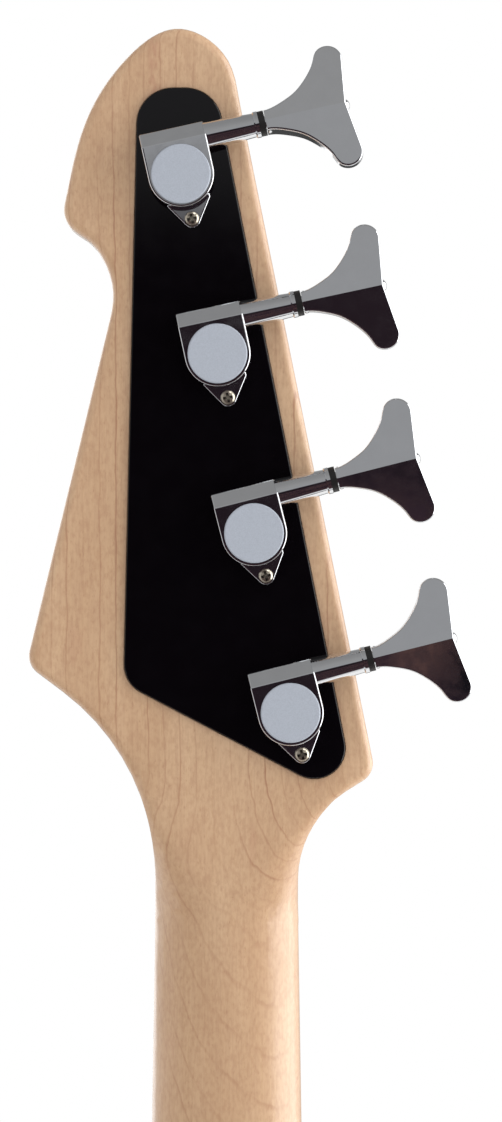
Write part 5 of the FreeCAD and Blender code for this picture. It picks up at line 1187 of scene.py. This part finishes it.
    def share(self, point: Vector) -> float:
        """Say how much a point of the blend is sanded, from 0 at the ends of the stretch to 1."""
        inside = min(point.z - self.blend_low, self.blend_high - point.z) / self.blend_fade
        return min(1.0, max(0.0, inside)) if point.y > self.board_clear else 0.0


@dataclass
class Tuners(Assembly):
    """Four worm tuners with their posts, bushings, covers and screws."""

    coats: Coats = (("chrome", per_string("tuner_housing", "worm_shaft", "tuner_key", "tuner_post")),
                    ("chrome", ("tuner_bushings", "string_tree")),
                    ("satin_cover", ("tuner_gear_covers",)),
                    ("screw_brass", ("tuner_screws",)),
                    ("black_nylon", ("tuner_washers",)))


@dataclass
class Fingerboard(Assembly):
    """Board, frets, nut and markers, with small dots along the player's edge."""

    coats: Coats = (("rosewood", ("fretboard",)), ("fret_wire", ("frets",)), ("bone", ("nut",)),
                    ("pearl", ("position_markers",)))
    octave: int = 12
    scale: float = 864 * MM
    dot_radius: float = 1.2 * MM
    dot_rise: float = 0.08 * MM
    dot_depth: float = 3.7 * MM
    dot_frets: tuple[int, ...] = (3, 5, 7, 9, 12, 15, 17, 19, 21)
    dot_steps: int = 24
    octave_spread: float = 5 * MM

    def build(self, shop: PaintShop) -> None:
        """Dress the board's pieces and set the side dots.

        Args:
            shop: where the finishes come from.
        """
        super().build(shop)
        for fret in self.dot_frets:
            for side in ((-1, 1) if fret == self.octave else (0,)):
                place = self.between_frets(fret) + side * self.octave_spread
                name = f"side_dot_{fret}_{side + 1}"
                shop.add("pearl", name, self.dot(name, place), "bass")

    def between_frets(self, fret: int) -> float:
        """Give the height half way between a fret and the one before it."""
        here, before = (self.scale * (1 - 2 ** (-count / self.octave)) for count in (fret, fret - 1))
        return -(here + before) / 2

    def dot(self, name: str, height: float) -> bpy.types.Mesh:
        """Turn one low dot that sits in the board's edge.

        Args:
            name: the dot's name.
            height: how far up the neck it is, below zero from the nut.

        Returns:
            Its mesh.
        """
        nut_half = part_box("nut")[1].x
        low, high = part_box("fretboard")
        slope = (high.x - nut_half) / (high.z - low.z)
        out = Vector((-1.0, 0.0, slope)).normalized()
        foot = Vector((slope * height - nut_half, self.dot_depth, height)) - out * self.dot_rise * 2
        radius = self.dot_radius
        rise = self.dot_rise
        profile = [(radius, 0.0), (radius, 2 * rise), (radius * 0.85, 2.6 * rise), (radius * 0.4, 3 * rise)]
        return lathe(name, foot, out, profile, self.dot_steps)


@dataclass
class Strings(Assembly):
    """The four wound strings and their ball ends."""

    coats: Coats = (("string_steel", per_string("string")), ("ball_brass", ("string_ball_ends",)))


@dataclass
class Body(Assembly):
    """The body with its neck plate, screws and strap buttons."""

    coats: Coats = (("body_wood", ("body",)),
                    ("chrome", ("neck_plate", "neck_screws", "strap_buttons", "small_screws")))


@dataclass
class Bridge(Assembly):
    """Bridge plate, saddles and intonation screws."""

    coats: Coats = (("chrome", ("bridge_plate", "bridge_screws")),
                    ("chrome", per_string("saddle", "intonation_screw")))


@dataclass
class Pickups(Assembly):
    """Two pickups: covers, coils and pole pieces."""

    coats: Coats = (("pickup_plastic", ("pickup_covers",)), ("coil_wire", ("pickup_coils",)),
                    ("pole_steel", ("pickup_pole_pieces",)))


@dataclass
class Controls(Assembly):
    """Control plate, pots and jack, with ridged knobs in place of the plain ones."""

    coats: Coats = (("chrome", ("control_plate", "output_jack")), ("pot_metal", ("pots",)))
    knob_height: float = 16 * MM
    knob_radius: float = 9.5 * MM
    ridge_depth: float = 0.34 * MM
    ridges: int = 54
    ridged: Span = (3.6 * MM, 12.4 * MM)
    line_angle: float = math.radians(-75)
    line_reach: Span = (2.4 * MM, 6.4 * MM)
    line_half: float = 0.55 * MM
    line_proud: float = 0.05 * MM
    line_thick: float = 0.2 * MM
    line_steps: int = 24
    dish_half: float = 6.9 * MM
    dish_rim: float = 0.12 * MM
    dish_depth: float = 0.35 * MM
    labels: tuple[str, ...] = ("volume", "blend", "tone")

    def build(self, shop: PaintShop) -> None:
        """Dress the plate, pots and jack, and turn the knobs.

        Args:
            shop: where the finishes come from.
        """
        super().build(shop)
        for label in self.labels:
            self.knob(shop, label)

    def knob(self, shop: PaintShop, label: str) -> None:
        """Turn one knob with ridged sides and a line on its dished top.

        Args:
            shop: where the finishes come from.
            label: what the knob controls.
        """
        low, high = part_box(f"knob_{label}")
        centre = (low + high) / 2
        foot = Vector((centre.x, low.y + self.knob_height, centre.z))
        # The front is towards minus y, so the knob's top is at the low end of its box.
        axis = Vector((0.0, -1.0, 0.0))
        wide, tall = self.knob_radius, self.knob_height
        start, end = self.ridged
        profile = [(wide - 1.1 * MM, 0.0), (wide - 0.4 * MM, 0.15 * MM), (wide, 0.6 * MM), (wide, 2.5 * MM),
                   (wide - 0.5 * MM, 2.8 * MM), (wide - 0.5 * MM, 3.2 * MM), (wide - 0.1 * MM, start),
                   (wide, start + 0.3 * MM), (wide, (start + end) / 2), (wide, end - 0.3 * MM),
                   (wide - 0.1 * MM, end), (wide - 0.5 * MM, end + 0.4 * MM),
                   (wide - 0.5 * MM, end + 0.8 * MM), (wide - 0.1 * MM, end + 1.2 * MM),
                   (wide - 0.1 * MM, tall - 1.5 * MM), (wide - 0.4 * MM, tall - 0.7 * MM),
                   (wide - 1.1 * MM, tall - 0.15 * MM), (wide - 1.9 * MM, tall),
                   (self.dish_half, tall - self.dish_rim), (1.0 * MM, tall - self.dish_depth)]
        mesh = lathe(f"ridged_knob_{label}", foot, axis, profile, self.ridges * 4, self.ridge_depth,
                     self.ridges, self.ridged)
        knob = shop.add("chrome", f"ridged_knob_{label}", mesh, f"{label}_control")
        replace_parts(knob, f"knob_{label}")
        name = f"knob_line_{label}"
        shop.add("black_gloss", name, self.line(name, foot, axis), f"{label}_control")

    def line(self, name: str, foot: Vector, axis: Vector) -> bpy.types.Mesh:
        """Make the round-ended line on a knob's top, which points along the row of controls.

        Args:
            name: the line's name.
            foot: the point where the knob's axis starts.
            axis: the knob's axis, one long.

        Returns:
            Its mesh.
        """
        along = Vector((math.cos(self.line_angle), 0.0, math.sin(self.line_angle)))
        across = axis.cross(along)
        shape = bmesh.new()
        lower, upper = [], []
        for step in range(self.line_steps):
            angle = 2 * math.pi * (step + 0.5) / self.line_steps
            end = self.line_reach[1] if math.cos(angle) > 0 else self.line_reach[0]
            reach = end + self.line_half * math.cos(angle)
            flat = foot + along * reach + across * (self.line_half * math.sin(angle))
            # The line follows the dished top and stands a hair above it.
            rise = (self.dish_depth - self.dish_rim) * reach / self.dish_half
            top = self.knob_height - self.dish_depth + rise + self.line_proud
            lower.append(shape.verts.new(flat + axis * (top - self.line_thick)))
            upper.append(shape.verts.new(flat + axis * top))
        join_rings(shape, [lower, upper], False)
        bmesh.ops.recalc_face_normals(shape, faces=shape.faces)
        return to_mesh(shape, name)


def main() -> None:
    """Dress the instrument, light it and note its size."""
    logging.basicConfig(level=logging.INFO, format="%(message)s")
    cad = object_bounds()
    shop = PaintShop()
    assemblies = (Headstock(), Tuners(), Fingerboard(), Strings(), Body(), Bridge(), Pickups(), Controls())
    for assembly in assemblies:
        LOG.info("building %s", type(assembly).__name__)
        assembly.build(shop)
    Studio().build(cad[0].z)


if __name__ == "__main__":
    main()
